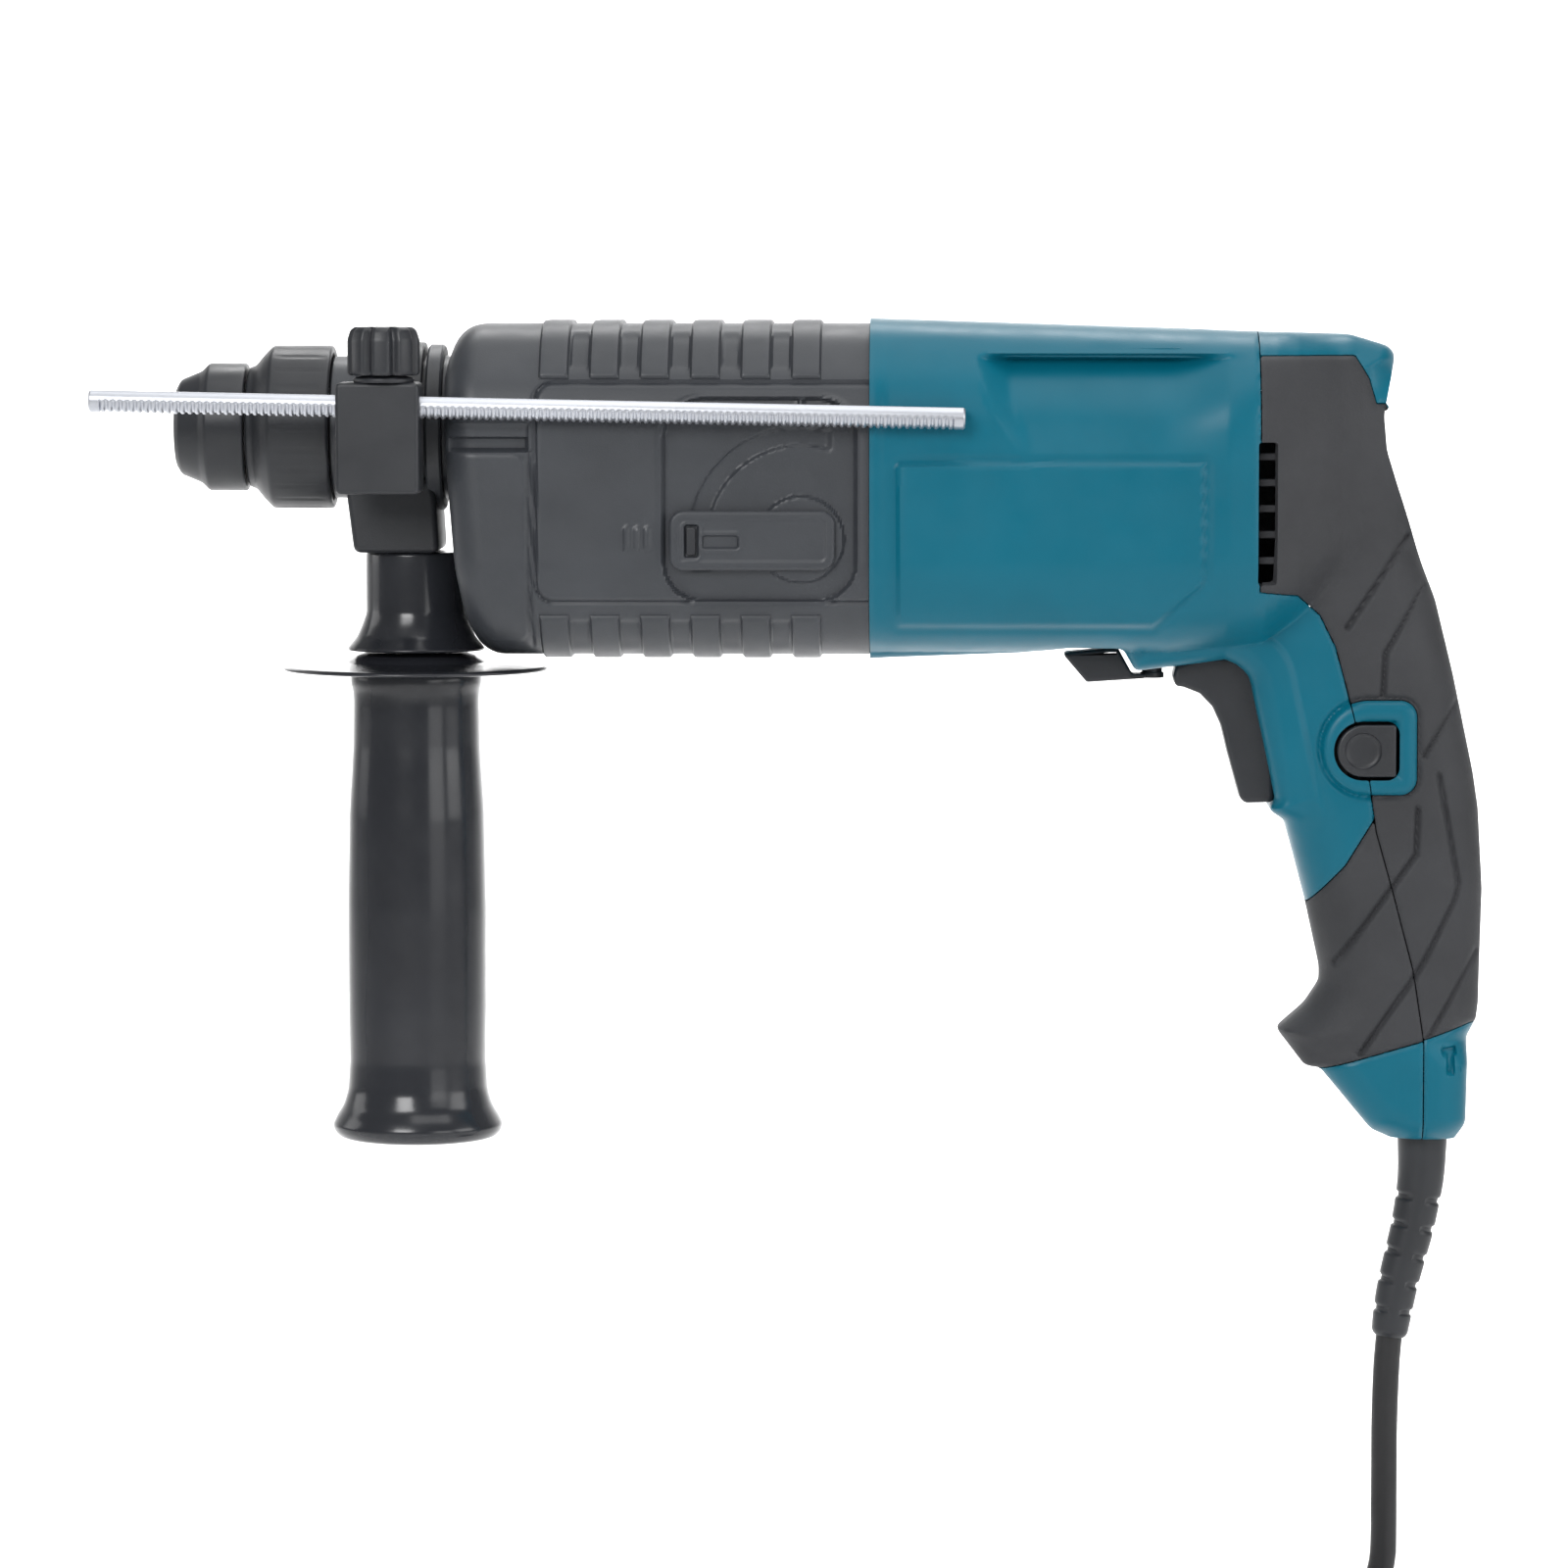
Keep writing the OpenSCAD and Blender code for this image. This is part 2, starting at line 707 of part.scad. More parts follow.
module armature_shaft() {
    color(steel) union() {
        bar_x(-150.3, -37.5, shaft_r, 0, motor_z);
        translate([0, 0, motor_z]) along_x(-158.5, -150.3) polygon(gear_outline(armature_teeth, -60));
    }
}
module armature_core() {
    slots = 12;
    color(steel) difference() {
        bar_x(-118, -76, 17.5, 0, motor_z);
        bar_x(-119, -75, shaft_r + seat, 0, motor_z);
        for (k = [0 : slots - 1]) {
            translate([-119, 0, motor_z]) rotate([360 / slots * k, 0, 0])
                translate([0, -0.8, 12]) cube([44, 1.6, 10]);
        }
    }
}
module commutator() {
    color([0.72, 0.45, 0.2]) difference() {
        bar_x(-64, -50, 12, 0, motor_z);
        bar_x(-65, -49, shaft_r + seat, 0, motor_z);
    }
}
module cooling_fan() {
    blades = 18;
    color(black) difference() {
        union() {
            bar_x(-127.5, -126, 29.5, 0, motor_z);
            bar_x(-134, -127, 8, 0, motor_z);
            for (k = [0 : blades - 1]) {
                translate([-134, 0, motor_z]) rotate([360 / blades * k, 0, 0])
                    translate([0, -0.6, 14]) cube([7, 1.2, 15]);
            }
        }
        bar_x(-135, -125, shaft_r + seat, 0, motor_z);
    }
}
module armature_bearings() {
    color(steel) {
        bearing_x(-143.5, -138, 9.5, shaft_r + fit, motor_z);
        bearing_x(-46, -38.5, 8 - seat, shaft_r + fit, motor_z);
    }
}
module stator_core() {
    color(steel) difference() {
        bar_x(-120, -74, 32, 0, motor_z);
        bar_x(-121, -73, 18.2, 0, motor_z);
        for (side = [-1, 1]) {
            translate([-121, side * 21 - 3.5, motor_z - 12]) cube([48, 7, 24]);
        }
    }
}
module stator_coils() {
    color([0.7, 0.35, 0.15]) for (side = [-1, 1], x = [-123.8, -73.8]) {
        translate([x, 0, motor_z]) rotate([0, 90, 0]) rotate([0, 0, side > 0 ? 40 : 220])
            rotate_extrude(angle = 100) translate([19.5, 0]) square([8, 3.6]);
    }
}
module brush_holders() {
    color([0.75, 0.6, 0.3]) for (side = [-1, 1]) {
        translate([-62, side * 24 - 8, motor_z - 5]) difference() {
            cube([10, 16, 10]);
            translate([1.9, -1, 1.9]) cube([6.2, 18, 6.2]);
        }
    }
}
module carbon_brushes() {
    color([0.15, 0.15, 0.15]) for (side = [-1, 1]) {
        translate([-60, side * 17.8 - 5.6, motor_z - 3]) cube([6, 11.2, 6]);
    }
}

module mode_lever() {
    tip = -197.8;
    color(dark) difference() {
        union() {
            slab(-39.8, -lever_floor - gap) round_rect(tip, -37.6, -153, -22.2, 5);
            bar_y(-lever_floor - 1, -30.2, 5, lever_pivot[0], lever_pivot[1]);
            bar_y(
                -30.3, -27, 1.5,
                lever_pivot[0] - pin_offset * cos(45), lever_pivot[1] + pin_offset * sin(45)
            );
        }
        slab(-41, -lever_floor) round_rect(tip + 3.4, -34.8, tip + 8.6, -25, 1);
    }
}
module mode_catch() {
    tip = -197.8;
    color(black) slab(-39.9, -37.9) round_rect(tip + 3.7, -34.5, tip + 8.3, -25.3, 0.8);
}
module trigger() {
    color(black) slab(-8, 8) polygon([
        [-58.3, -69.9], [-57.6, -72.6], [-55.3, -72.9], [-50.7, -74.7], [-47, -78.6],
        [-44.7, -83.7], [-42.9, -91.1], [-39.2, -104.4], [-37.8, -105.6], [-33, -105.2],
        [-33, -69.9],
    ]);
}
module switch_body() {
    color(black) translate([-24.3, -10, -105]) cube([15, 20, 39]);
}
module lock_button() {
    color(black) difference() {
        slab(-19.3, -14.6) button_outline(0);
        bar_y(-20, -18.5, 5, -5.3, -90.1);
    }
}
module reversing_lever() {
    color(black) union() {
        slab(-5.5, 5.5) polygon([
            [-89.6, -63.4], [-76, -62.2], [-74.2, -62.2], [-70.2, -69.4], [-66, -69.4],
            [-66, -70.6], [-82.5, -71.7],
        ]);
        translate([-64, 0, -70.6]) cylinder(h = 1.7, r = 3.5);
        translate([-66.5, -3.4, -70.6]) cube([2.5, 6.8, 1.2]);
        translate([-64, 0, -70.6]) cylinder(h = 14, r = 3);
    }
}

module handle_collar() {
    block_z = [-17.5, 13.3];
    color(black) difference() {
        union() {
            bar_x(-287.4, -269, neck_d / 2 + 4);
            translate([-290.5, -50, block_z[0]]) cube([23.1, 18, block_z[1] - block_z[0]]);
            translate([-287, -34, -12]) cube([18, 20, 22]);
            slab(-16, 16) polygon([
                [-287.4, -15], [-287.4, -24.2], [-290.5, -24.4], [-288.6, -35], [-263.4, -35],
                [-264.6, -29], [-269, -23], [-269, -15],
            ]);
        }
        bar_x(-300, -260, neck_d / 2 + 0.1);
        bar_x(-300, -268.4, holder_d);
        translate([side_x, 0, -40]) cylinder(h = 19.9, r = 4.3);
        translate([-277, rod_y, rod_z]) rotate([0, 90 + rod_tilt, 0])
            cylinder(h = 60, r = rod_d / 2 + gap, center = true);
        translate([-277.5, rod_y, 6]) cylinder(h = 10, r = 3 + fit);
    }
}
module handle_stem() {
    color(dark) difference() {
        turned_z(side_x, 0, [
            [0, -35.1], [14.1, -35.1], [14.1, -52.4], [15.2, -55.6], [16.8, -59.2], [19, -61.8],
            [19.4, -63], [0, -63],
        ]);
        translate([side_x, 0, -70]) cylinder(h = 40, r = 4.3);
    }
}
module hand_guard() {
    color(black) difference() {
        turned_z(side_x, 0, [
            [0, -63.4], [14, -63.6], [20, -66.6], [guard_d / 2 - 0.6, -67.6],
            [guard_d / 2, -68.2], [guard_d / 2 - 0.6, -68.8], [14, -68.4], [0, -68.4],
        ]);
        translate([side_x, 0, -80]) cylinder(h = 20, r = 9);
    }
}
module side_grip() {
    low = -68 - side_grip_len;
    color(dark) difference() {
        turned_z(side_x, 0, [
            [0, -64.1], [8.9, -64.1], [8.9, -68.6], [18.4, -68.8], [18.8, -72.4],
            [17.8, -76.3], [18, -90], [19.2, -110], [19.7, -136], [19.5, low + 24],
            [19.9, low + 14], [23, low + 6.8], [24.2, low + 3.8], [22.6, low + 0.8],
            [19, low], [0, low],
        ]);
        translate([side_x, 0, -112]) cylinder(h = 50, r = 4 + seat);
    }
}
module clamp_bolt() {
    color(steel) translate([side_x, 0, -111]) cylinder(h = 88, r = 4);
}
module thumb_knob() {
    lobes = 8;
    color(black) union() {
        difference() {
            turned_z(-277.5, rod_y, [[0, 15], [10, 15], [10, 25], [8.4, 28.6], [0, 28.6]]);
            for (k = [0 : lobes - 1]) {
                translate(concat([-277.5, rod_y] + polar(11, 360 / lobes * k), [14]))
                    cylinder(h = 16, r = 2.4);
            }
        }
        translate([-277.5, rod_y, 10.6]) cylinder(h = 5, r = 3);
        translate([-277.5, rod_y, 13.6]) cylinder(h = 1.5, r = 6);
    }
}
// Depth rod: round, with a flat on top and square notches along its lower edge.
module depth_rod() {
    pitch = 4;
    color(steel) translate([-277, rod_y, rod_z]) rotate([0, rod_tilt, 0]) difference() {
        translate([rod_front + 277, 0, 0]) rotate([0, 90, 0]) cylinder(h = rod_len, r = rod_d / 2);
        translate([rod_front + 276, -5, rod_d / 2 - 0.5]) cube([rod_len + 2, 10, 2]);
        for (k = [1 : rod_len / pitch - 1]) {
            translate([rod_front + 277 + pitch * k, -5, -rod_d / 2 - 1]) cube([1.6, 10, 1.7]);
        }
    }
}
module housing_screws() {
    color(steel) for (c = corner_screws) {
        screw_x(-173, -129, c[0], c[1], 1.97, 3.6);
    }
}
module cover_screws() {
    color(steel) {
        screw_x(-4.9, -44, 0, grip_screws[0], 1.7, 3.4);
        screw_x(24.1, -8, 0, grip_screws[1], 1.7, 3.4);
        screw_x(24.1, -6, 0, grip_screws[2], 1.7, 3.4);
    }
}

module cord_guard() {
    radii = [7, 7, 6.7, 6.4, 6.2, 6, 5.8, 5.6, 5.2];
    color(black) swept(guard_path, radii, 12, [0, 1, 0]);
}
module cord() {
    color(black) swept(cord_path, [for (p = cord_path) cord_d / 2], 12, [0, 1, 0]);
}
module cord_coil() {
    color(black) translate([coil_centre[0], coil_centre[1], floor_z]) rotate_extrude()
        round_rect(coil_in - cord_d / 2, 0, coil_out + cord_d / 2, coil_layers * cord_d, cord_d / 2);
}
module cord_tail() {
    color(black) swept(tail_path, [for (p = tail_path) cord_d / 2], 12, [0, 0, 1]);
}
// Plug: a flat moulded body with a tapered relief behind it and two round contact pins.
module plug() {
    color(black) translate(plug_at) {
        turned_x([[0, 0], [0, 5.2], [22, 7.6], [22, 0]]);
        along_x(21.9, 58) round_rect(-17.5, -9, 17.5, 9, 8.8);
        for (y = [-9.5, 9.5]) {
            bar_x(57.9, 77, 2.4, y, 0);
        }
    }
}
module coil_tie() {
    section_r = (coil_out - coil_in + cord_d) / 2;
    low = [coil_in - cord_d / 2, 0];
    band = 0.8;
    room = 0.35;
    color(black) translate([coil_centre[0], coil_centre[1], floor_z])
        rotate([0, 0, -90]) rotate([90, 0, 0]) translate([0, 0, -4]) linear_extrude(8) difference() {
            translate(low - [band + room, 0]) square([
                2 * section_r + 2 * band + 2 * room, coil_layers * cord_d + band + seat,
            ]);
            translate(low - [room, 1]) square([
                2 * section_r + 2 * room, coil_layers * cord_d + 1 + seat,
            ]);
        }
}

gear_housing();
rib_pads();
motor_housing();
front_grip_pad();
rear_cover();
rear_grip_pad();
bearing_plate();
baffle_ring();
tool_holder();
nose_cap();
release_sleeve();
sleeve_spring();
locking_balls();
front_bearing();
oil_seal();
spindle_gear();
barrel_bearing();
impact_bolt();
striker();
piston();
piston_pin();
swash_ring();
intermediate_shaft();
swash_race();
drive_gear();
clutch_sleeve();
shift_plate();
shaft_bearings();
armature_shaft();
armature_core();
commutator();
cooling_fan();
armature_bearings();
stator_core();
stator_coils();
brush_holders();
carbon_brushes();
mode_lever();
mode_catch();
trigger();
switch_body();
lock_button();
reversing_lever();
handle_collar();
handle_stem();
hand_guard();
side_grip();
clamp_bolt();
thumb_knob();
depth_rod();
housing_screws();
cover_screws();
cord_guard();
cord();
cord_coil();
cord_tail();
plug();
coil_tie();
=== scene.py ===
import json
import math
import bpy
import numpy as np
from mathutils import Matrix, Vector
from mathutils.geometry import tessellate_polygon


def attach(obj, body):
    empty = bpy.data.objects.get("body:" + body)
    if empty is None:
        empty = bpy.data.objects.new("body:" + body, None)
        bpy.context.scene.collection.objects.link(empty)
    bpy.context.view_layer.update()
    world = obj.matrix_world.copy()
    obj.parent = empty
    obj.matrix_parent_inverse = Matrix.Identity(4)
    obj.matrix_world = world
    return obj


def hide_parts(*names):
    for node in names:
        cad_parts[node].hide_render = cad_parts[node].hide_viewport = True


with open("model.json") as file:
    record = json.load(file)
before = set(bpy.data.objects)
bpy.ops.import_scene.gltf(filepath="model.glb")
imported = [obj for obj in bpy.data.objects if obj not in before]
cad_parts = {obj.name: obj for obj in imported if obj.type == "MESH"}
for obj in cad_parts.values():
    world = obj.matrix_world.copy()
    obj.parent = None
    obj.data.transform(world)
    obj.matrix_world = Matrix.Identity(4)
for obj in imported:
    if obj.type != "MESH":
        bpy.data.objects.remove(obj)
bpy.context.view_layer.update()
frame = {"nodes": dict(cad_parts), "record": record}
mm = 0.001

# Everything below is in millimetres in the part's own frame, and becomes metres in makePiece.

# Camera and cord

camera = {"place": (-124, -1900, 42), "target": (-168, 0, -101), "lens": 154.4}
cord = {
    "diameter": 7.5, "length": 1.83, "exit": (4.2, 0, -258), "floor": -380,
    "hang": [
        (4.2, 0, -258), (3.6, 0, -265), (3.2, 0, -275), (3, 0, -285), (3, 0, -295), (3, 0, -305),
        (3, 0, -315), (2.6, 0, -323), (0, 0, -333), (-5, 0, -342), (-13, 0, -349),
        (-22, 0, -353), (-30, 0, -353.8),
    ],
    "centre": (-30, -46), "outer": 46, "inner": 38.5, "layers": 4,
    "tail": [
        (-68.5, -46, -353.8), (-66, -58, -351.5), (-59.4, -68, -348), (-49.4, -74.6, -344.5),
        (-40, -76.8, -341.6), (-32, -77, -340.5),
    ],
}


# Centre line of the coil: three turns down outside, a quarter turn inwards, three turns up.
def coilPath():
    top = cord["floor"] + (cord["layers"] - 0.5) * cord["diameter"]
    low = cord["floor"] + 0.5 * cord["diameter"]
    down = np.linspace(0, 3, 145)[1:]
    across = np.linspace(0, 0.25, 16)[1:]
    up = np.linspace(0, 3, 145)[1:]
    turns = np.concatenate([down, 3 + across, 3.25 + up])
    radius = np.concatenate([
        np.full(len(down), cord["outer"]),
        cord["outer"] + (cord["inner"] - cord["outer"]) * smooth(across / 0.25),
        np.full(len(up), cord["inner"]),
    ])
    height = np.concatenate([
        top + (low - top) * down / 3, np.full(len(across), low), low + (top - low) * up / 3,
    ])
    angle = math.pi / 2 + 2 * math.pi * turns
    return np.column_stack([
        cord["centre"][0] + radius * np.cos(angle), cord["centre"][1] + radius * np.sin(angle), height,
    ])


# Shapes from arrays


# Zero below 0, one above 1, and three t squared less two t cubed between.
def smooth(t):
    t = np.clip(t, 0, 1)
    return t * t * (3 - 2 * t)


# Rows of vectors brought to length one.
def unit(rows):
    return rows / np.linalg.norm(rows, axis=1)[:, None]


# How far along a line of points each one lies.
def runLength(points):
    return np.concatenate([[0], np.cumsum(np.linalg.norm(np.diff(points, axis=0), axis=1))])


# A corner at b as a parabola from b + u to b + v, in n points.
def cornerCurve(b, u, v, n):
    t = np.linspace(0, 1, n)[:, None]
    return (b + u) * (1 - t)**2 + 2 * b * t * (1 - t) + (b + v) * t**2


# A smooth curve through the points (a cubic for each gap, even in its parameter), sampled about every step.
def curveThrough(points, step):
    p = np.asarray(points, float)
    p = np.vstack([2 * p[0] - p[1], p, 2 * p[-1] - p[-2]])
    out = []
    for a, b, c, d in zip(p[:-3], p[1:-2], p[2:-1], p[3:]):
        n = max(2, int(math.ceil(np.linalg.norm(c - b) / step)))
        t = np.linspace(0, 1, n, endpoint=False)[:, None]
        out.append(0.5 * (2 * b + (c - a) * t + (2 * a - 5 * b + 4 * c - d) * t**2
                          + (3 * b - a - 3 * c + d) * t**3))
    return np.vstack(out + [p[-2:-1]])


# Quads of a grid of points, rows by columns, closed around the columns or not.
def gridFaces(rows, columns, closed):
    across = np.arange(columns if closed else columns - 1)
    a = np.arange(rows - 1)[:, None] * columns + across
    b = np.arange(rows - 1)[:, None] * columns + (across + 1) % columns
    return np.stack([a, b, b + columns, a + columns], -1).reshape(-1, 4)


# Quads split along one diagonal.
def triangles(faces):
    faces = np.asarray(faces)
    if faces.shape[1] == 3:
        return faces
    return np.vstack([faces[:, [0, 1, 2]], faces[:, [0, 2, 3]]])


# A closed skin over rings of points: an array of rings by points by 3. Ends get a fan.
def tubeOf(rings, capStart=True, capEnd=True):
    n, m = rings.shape[:2]
    points = rings.reshape(-1, 3)
    faces = [triangles(gridFaces(n, m, True))]
    i = np.arange(m)
    if capStart:
        points = np.vstack([points, rings[0].mean(0)])
        faces.append(np.stack([np.full(m, len(points) - 1), (i + 1) % m, i], -1))
    if capEnd:
        points = np.vstack([points, rings[-1].mean(0)])
        faces.append(np.stack([np.full(m, len(points) - 1), (n - 1) * m + i,
                               (n - 1) * m + (i + 1) % m], -1))
    return points, np.vstack(faces)


# Several skins as one, each with its faces counted on from the last.
def joined(*parts):
    points, faces, start = [], [], 0
    for p, f in parts:
        points.append(p)
        faces.append(f + start)
        start += len(p)
    return np.vstack(points), np.vstack(faces)


# Turns the faces over if the closed skin holds a negative volume.
def outward(part):
    p, f = part
    a, b, c = p[f[:, 0]], p[f[:, 1]], p[f[:, 2]]
    volume = np.einsum("ij,ij->i", a, np.cross(b, c)).sum()
    return (p, f[:, ::-1]) if volume < 0 else part


# A profile with its corners rounded off by the radius and then sampled every step.
def profilePath(corners, radius, step=3.2):
    c = np.asarray(corners, float)
    out = [c[0]]
    for a, b, d in zip(c[:-2], c[1:-1], c[2:]):
        u, v = a - b, d - b
        lu, lv = np.linalg.norm(u), np.linalg.norm(v)
        r = min(radius, 0.45 * lu, 0.45 * lv)
        out.extend(cornerCurve(b, u / lu * r, v / lv * r, 5))
    out.append(c[-1])
    out = np.array(out)
    fine = [out[0]]
    for a, b in zip(out[:-1], out[1:]):
        n = max(1, int(round(np.linalg.norm(b - a) / step)))
        fine.extend(a + (b - a) * t for t in np.linspace(0, 1, n + 1)[1:])
    return np.array(fine)


# A profile of (place along the axis, radius) carried round the axis.
# shape(angle, place, r) may change the radius, for flutes and lobes.
def turned(corners, axis, centre, sides=96, radius=0.6, shape=None):
    path = profilePath(corners, radius)
    angle = np.linspace(0, 2 * math.pi, sides, endpoint=False)
    r = np.repeat(path[:, 1:2], sides, 1)
    along = np.repeat(path[:, :1], sides, 1)
    if shape:
        r = shape(angle[None, :], along, r)
    u, v = r * np.cos(angle), r * np.sin(angle)
    order = {"x": [along, u, v], "y": [v, along, u], "z": [u, v, along]}[axis]
    rings = np.stack(order, -1) + np.asarray(centre, float)
    return outward(tubeOf(rings))


# A round section carried along a path, with one side direction kept near up.
def carried(path, radii, sides, up=(0, 1, 0), section=None):
    path = np.asarray(path, float)
    along = unit(np.gradient(path, axis=0))
    side = unit(np.cross(np.cross(along, up), along))
    other = np.cross(along, side)
    angle = np.linspace(0, 2 * math.pi, sides, endpoint=False)
    radii = np.broadcast_to(np.asarray(radii, float), len(path))[:, None] * np.ones(sides)
    if section is not None:
        radii = section(angle[None, :], np.arange(len(path))[:, None], radii)
    rings = (path[:, None] + side[:, None] * (radii * np.cos(angle))[..., None]
             + other[:, None] * (radii * np.sin(angle))[..., None])
    return outward(tubeOf(rings))


# A closed outline with rounded corners, points about every step, anticlockwise.
def outlinePath(corners, radius, step=0.7):
    c = np.asarray(corners, float)
    area = np.sum(c[:, 0] * np.roll(c[:, 1], -1) - np.roll(c[:, 0], -1) * c[:, 1])
    c = c if area > 0 else c[::-1]
    out = []
    for i in range(len(c)):
        a, b, d = c[i - 1], c[i], c[(i + 1) % len(c)]
        u, v = a - b, d - b
        lu, lv = np.linalg.norm(u), np.linalg.norm(v)
        turn = math.acos(max(-1, min(1, float(u @ v / lu / lv))))
        r = min(radius / max(math.tan(turn / 2), 1e-6), 0.48 * lu, 0.48 * lv)
        out.append(cornerCurve(b, u / lu * r, v / lv * r, 9))
    out = np.vstack(out)
    closed = np.vstack([out, out[:1]])
    length = runLength(closed)
    n = max(24, int(length[-1] / step))
    where = np.linspace(0, length[-1], n, endpoint=False)
    return np.column_stack([np.interp(where, length, closed[:, k]) for k in (0, 1)])


# Moves a closed outline inwards by the distance, along the mean normal of its neighbours.
def inset(outline, distance):
    ahead, behind = np.roll(outline, -1, 0), np.roll(outline, 1, 0)
    tangent = ahead - behind
    tangent /= np.linalg.norm(tangent, axis=1)[:, None] + 1e-9
    return outline + np.column_stack([-tangent[:, 1], tangent[:, 0]]) * distance


# An outline in the XZ plane run along Y from y0 to y1: the rims are quarter circles.
# dish = (x, z, r, depth) sinks a round hollow into the face at y0.
def slab(corners, y0, y1, radius, rim, step=0.7, dish=None):
    outline = outlinePath(corners, radius, step)
    a = np.linspace(0, math.pi / 2, 5)
    rings = []
    if dish:
        x, z, r, depth = dish
        turn = np.arctan2(outline[:, 1] - z, outline[:, 0] - x)
        spoke = np.column_stack([np.cos(turn), np.sin(turn)])
        for out, sink in ((0.4, 1), (0.75, 0.95), (0.93, 0.75), (1, 0.35), (1.04, 0)):
            rings.append((np.array([x, z]) + spoke * r * out, y0 + depth * sink))
    else:
        rings.append((inset(outline, rim + 0.12), y0))
    rings += [(inset(outline, rim * (1 - math.sin(t))), y0 + rim * (1 - math.cos(t))) for t in a]
    rings += [(inset(outline, rim * (1 - math.cos(t))), y1 - rim * (1 - math.sin(t))) for t in a]
    rings.append((inset(outline, rim + 0.12), y1))
    stack = np.stack([np.column_stack([o[:, 0], np.full(len(o), y), o[:, 1]]) for o, y in rings])
    points, faces = tubeOf(stack, bool(dish), False)
    caps = [faces]
    for start, turn in ((0, 1), (len(rings) - 1, -1)):
        if start or not dish:
            ring = [Vector(v) for v in stack[start]]
            flat = np.array(tessellate_polygon([ring]))
            a, b, c = stack[start][flat[0]]
            # The first cap looks along -Y and the last along +Y, seen from the rings' own turn.
            way = np.cross(stack[start], np.roll(stack[start], -1, 0)).sum(0)[1]
            facing = np.cross(b - a, c - a)[1]
            caps.append((flat if facing * way * turn < 0 else flat[:, ::-1]) + start * len(ring))
    return outward((points, np.vstack(caps)))


# A slab from one corner to the opposite one, with its sides along the axes.
def block(low, high, radius, rim):
    x0, y0, z0 = low
    x1, y1, z1 = high
    return slab([(x0, z0), (x1, z0), (x1, z1), (x0, z1)], y0, y1, radius, rim, 0.8)


# Distance of points to a polyline in the XZ plane.
def away(x, z, line, closed=False):
    line = np.asarray(line, float)
    line = np.vstack([line, line[:1]]) if closed else line
    best = np.full(np.shape(x), 1e9)
    for (ax, az), (bx, bz) in zip(line[:-1], line[1:]):
        dx, dz = bx - ax, bz - az
        t = np.clip(((x - ax) * dx + (z - az) * dz) / (dx * dx + dz * dz + 1e-12), 0, 1)
        best = np.minimum(best, (x - ax - t * dx)**2 + (z - az - t * dz)**2)
    return np.sqrt(best)


# Distance to a closed outline in the XZ plane, negative inside.
def signed(x, z, corners):
    c = np.asarray(corners, float)
    inside = np.zeros(np.shape(x), bool)
    for (ax, az), (bx, bz) in zip(c, np.roll(c, -1, 0)):
        crosses = (az > z) != (bz > z)
        with np.errstate(divide="ignore", invalid="ignore"):
            inside ^= crosses & (x < (bx - ax) * (z - az) / (bz - az + 1e-30) + ax)
    distance = away(x, z, c, True)
    return np.where(inside, -distance, distance)


# Distance to a rectangle with rounded corners, negative inside.
def roundBox(x, z, x0, z0, x1, z1, r):
    dx = np.abs(x - (x0 + x1) / 2) - (x1 - x0) / 2 + r
    dz = np.abs(z - (z0 + z1) / 2) - (z1 - z0) / 2 + r
    return np.hypot(np.maximum(dx, 0), np.maximum(dz, 0)) + np.minimum(np.maximum(dx, dz), 0) - r


# The part of a triangle skin where the field is positive, cut cleanly where it is zero.
def kept(part, field):
    p, f = part
    field = np.where(np.abs(field) < 1e-6, 1e-6, field)
    above = field[f] > 0
    count = above.sum(1)
    whole = f[count == 3]
    points, extra, start = [p], [], len(p)
    for wanted in (1, 2):
        rows = f[count == wanted]
        if not len(rows):
            continue
        lone = above[count == wanted] if wanted == 1 else ~above[count == wanted]
        first = lone.argmax(1)
        a = rows[np.arange(len(rows)), first]
        b = rows[np.arange(len(rows)), (first + 1) % 3]
        c = rows[np.arange(len(rows)), (first + 2) % 3]
        cut = []
        for other in (b, c):
            low, high = np.minimum(a, other), np.maximum(a, other)
            t = (field[low] / (field[low] - field[high]))[:, None]
            points.append(p[low] + (p[high] - p[low]) * t)
            cut.append(start + np.arange(len(rows)))
            start += len(rows)
        if wanted == 1:
            extra.append(np.stack([a, cut[0], cut[1]], -1))
        else:
            extra.append(np.stack([cut[0], b, c], -1))
            extra.append(np.stack([cut[0], c, cut[1]], -1))
    return welded(np.vstack(points), np.vstack([whole] + extra))


# Joins points in one place and drops unused points and faces with no area.
def welded(p, f):
    keys, back = np.unique(np.round(p, 5), axis=0, return_inverse=True)
    f = back.ravel()[f]
    f = f[(f[:, 0] != f[:, 1]) & (f[:, 1] != f[:, 2]) & (f[:, 0] != f[:, 2])]
    used, f = np.unique(f, return_inverse=True)
    return keys[used], f.reshape(-1, 3)


# Each point's normal: the sum of its faces' normals, weighted by area.
def pointNormals(p, f):
    across = np.cross(p[f[:, 1]] - p[f[:, 0]], p[f[:, 2]] - p[f[:, 0]])
    normals = np.zeros_like(p)
    for k in range(3):
        np.add.at(normals, f[:, k], across)
    return normals / (np.linalg.norm(normals, axis=1)[:, None] + 1e-12)


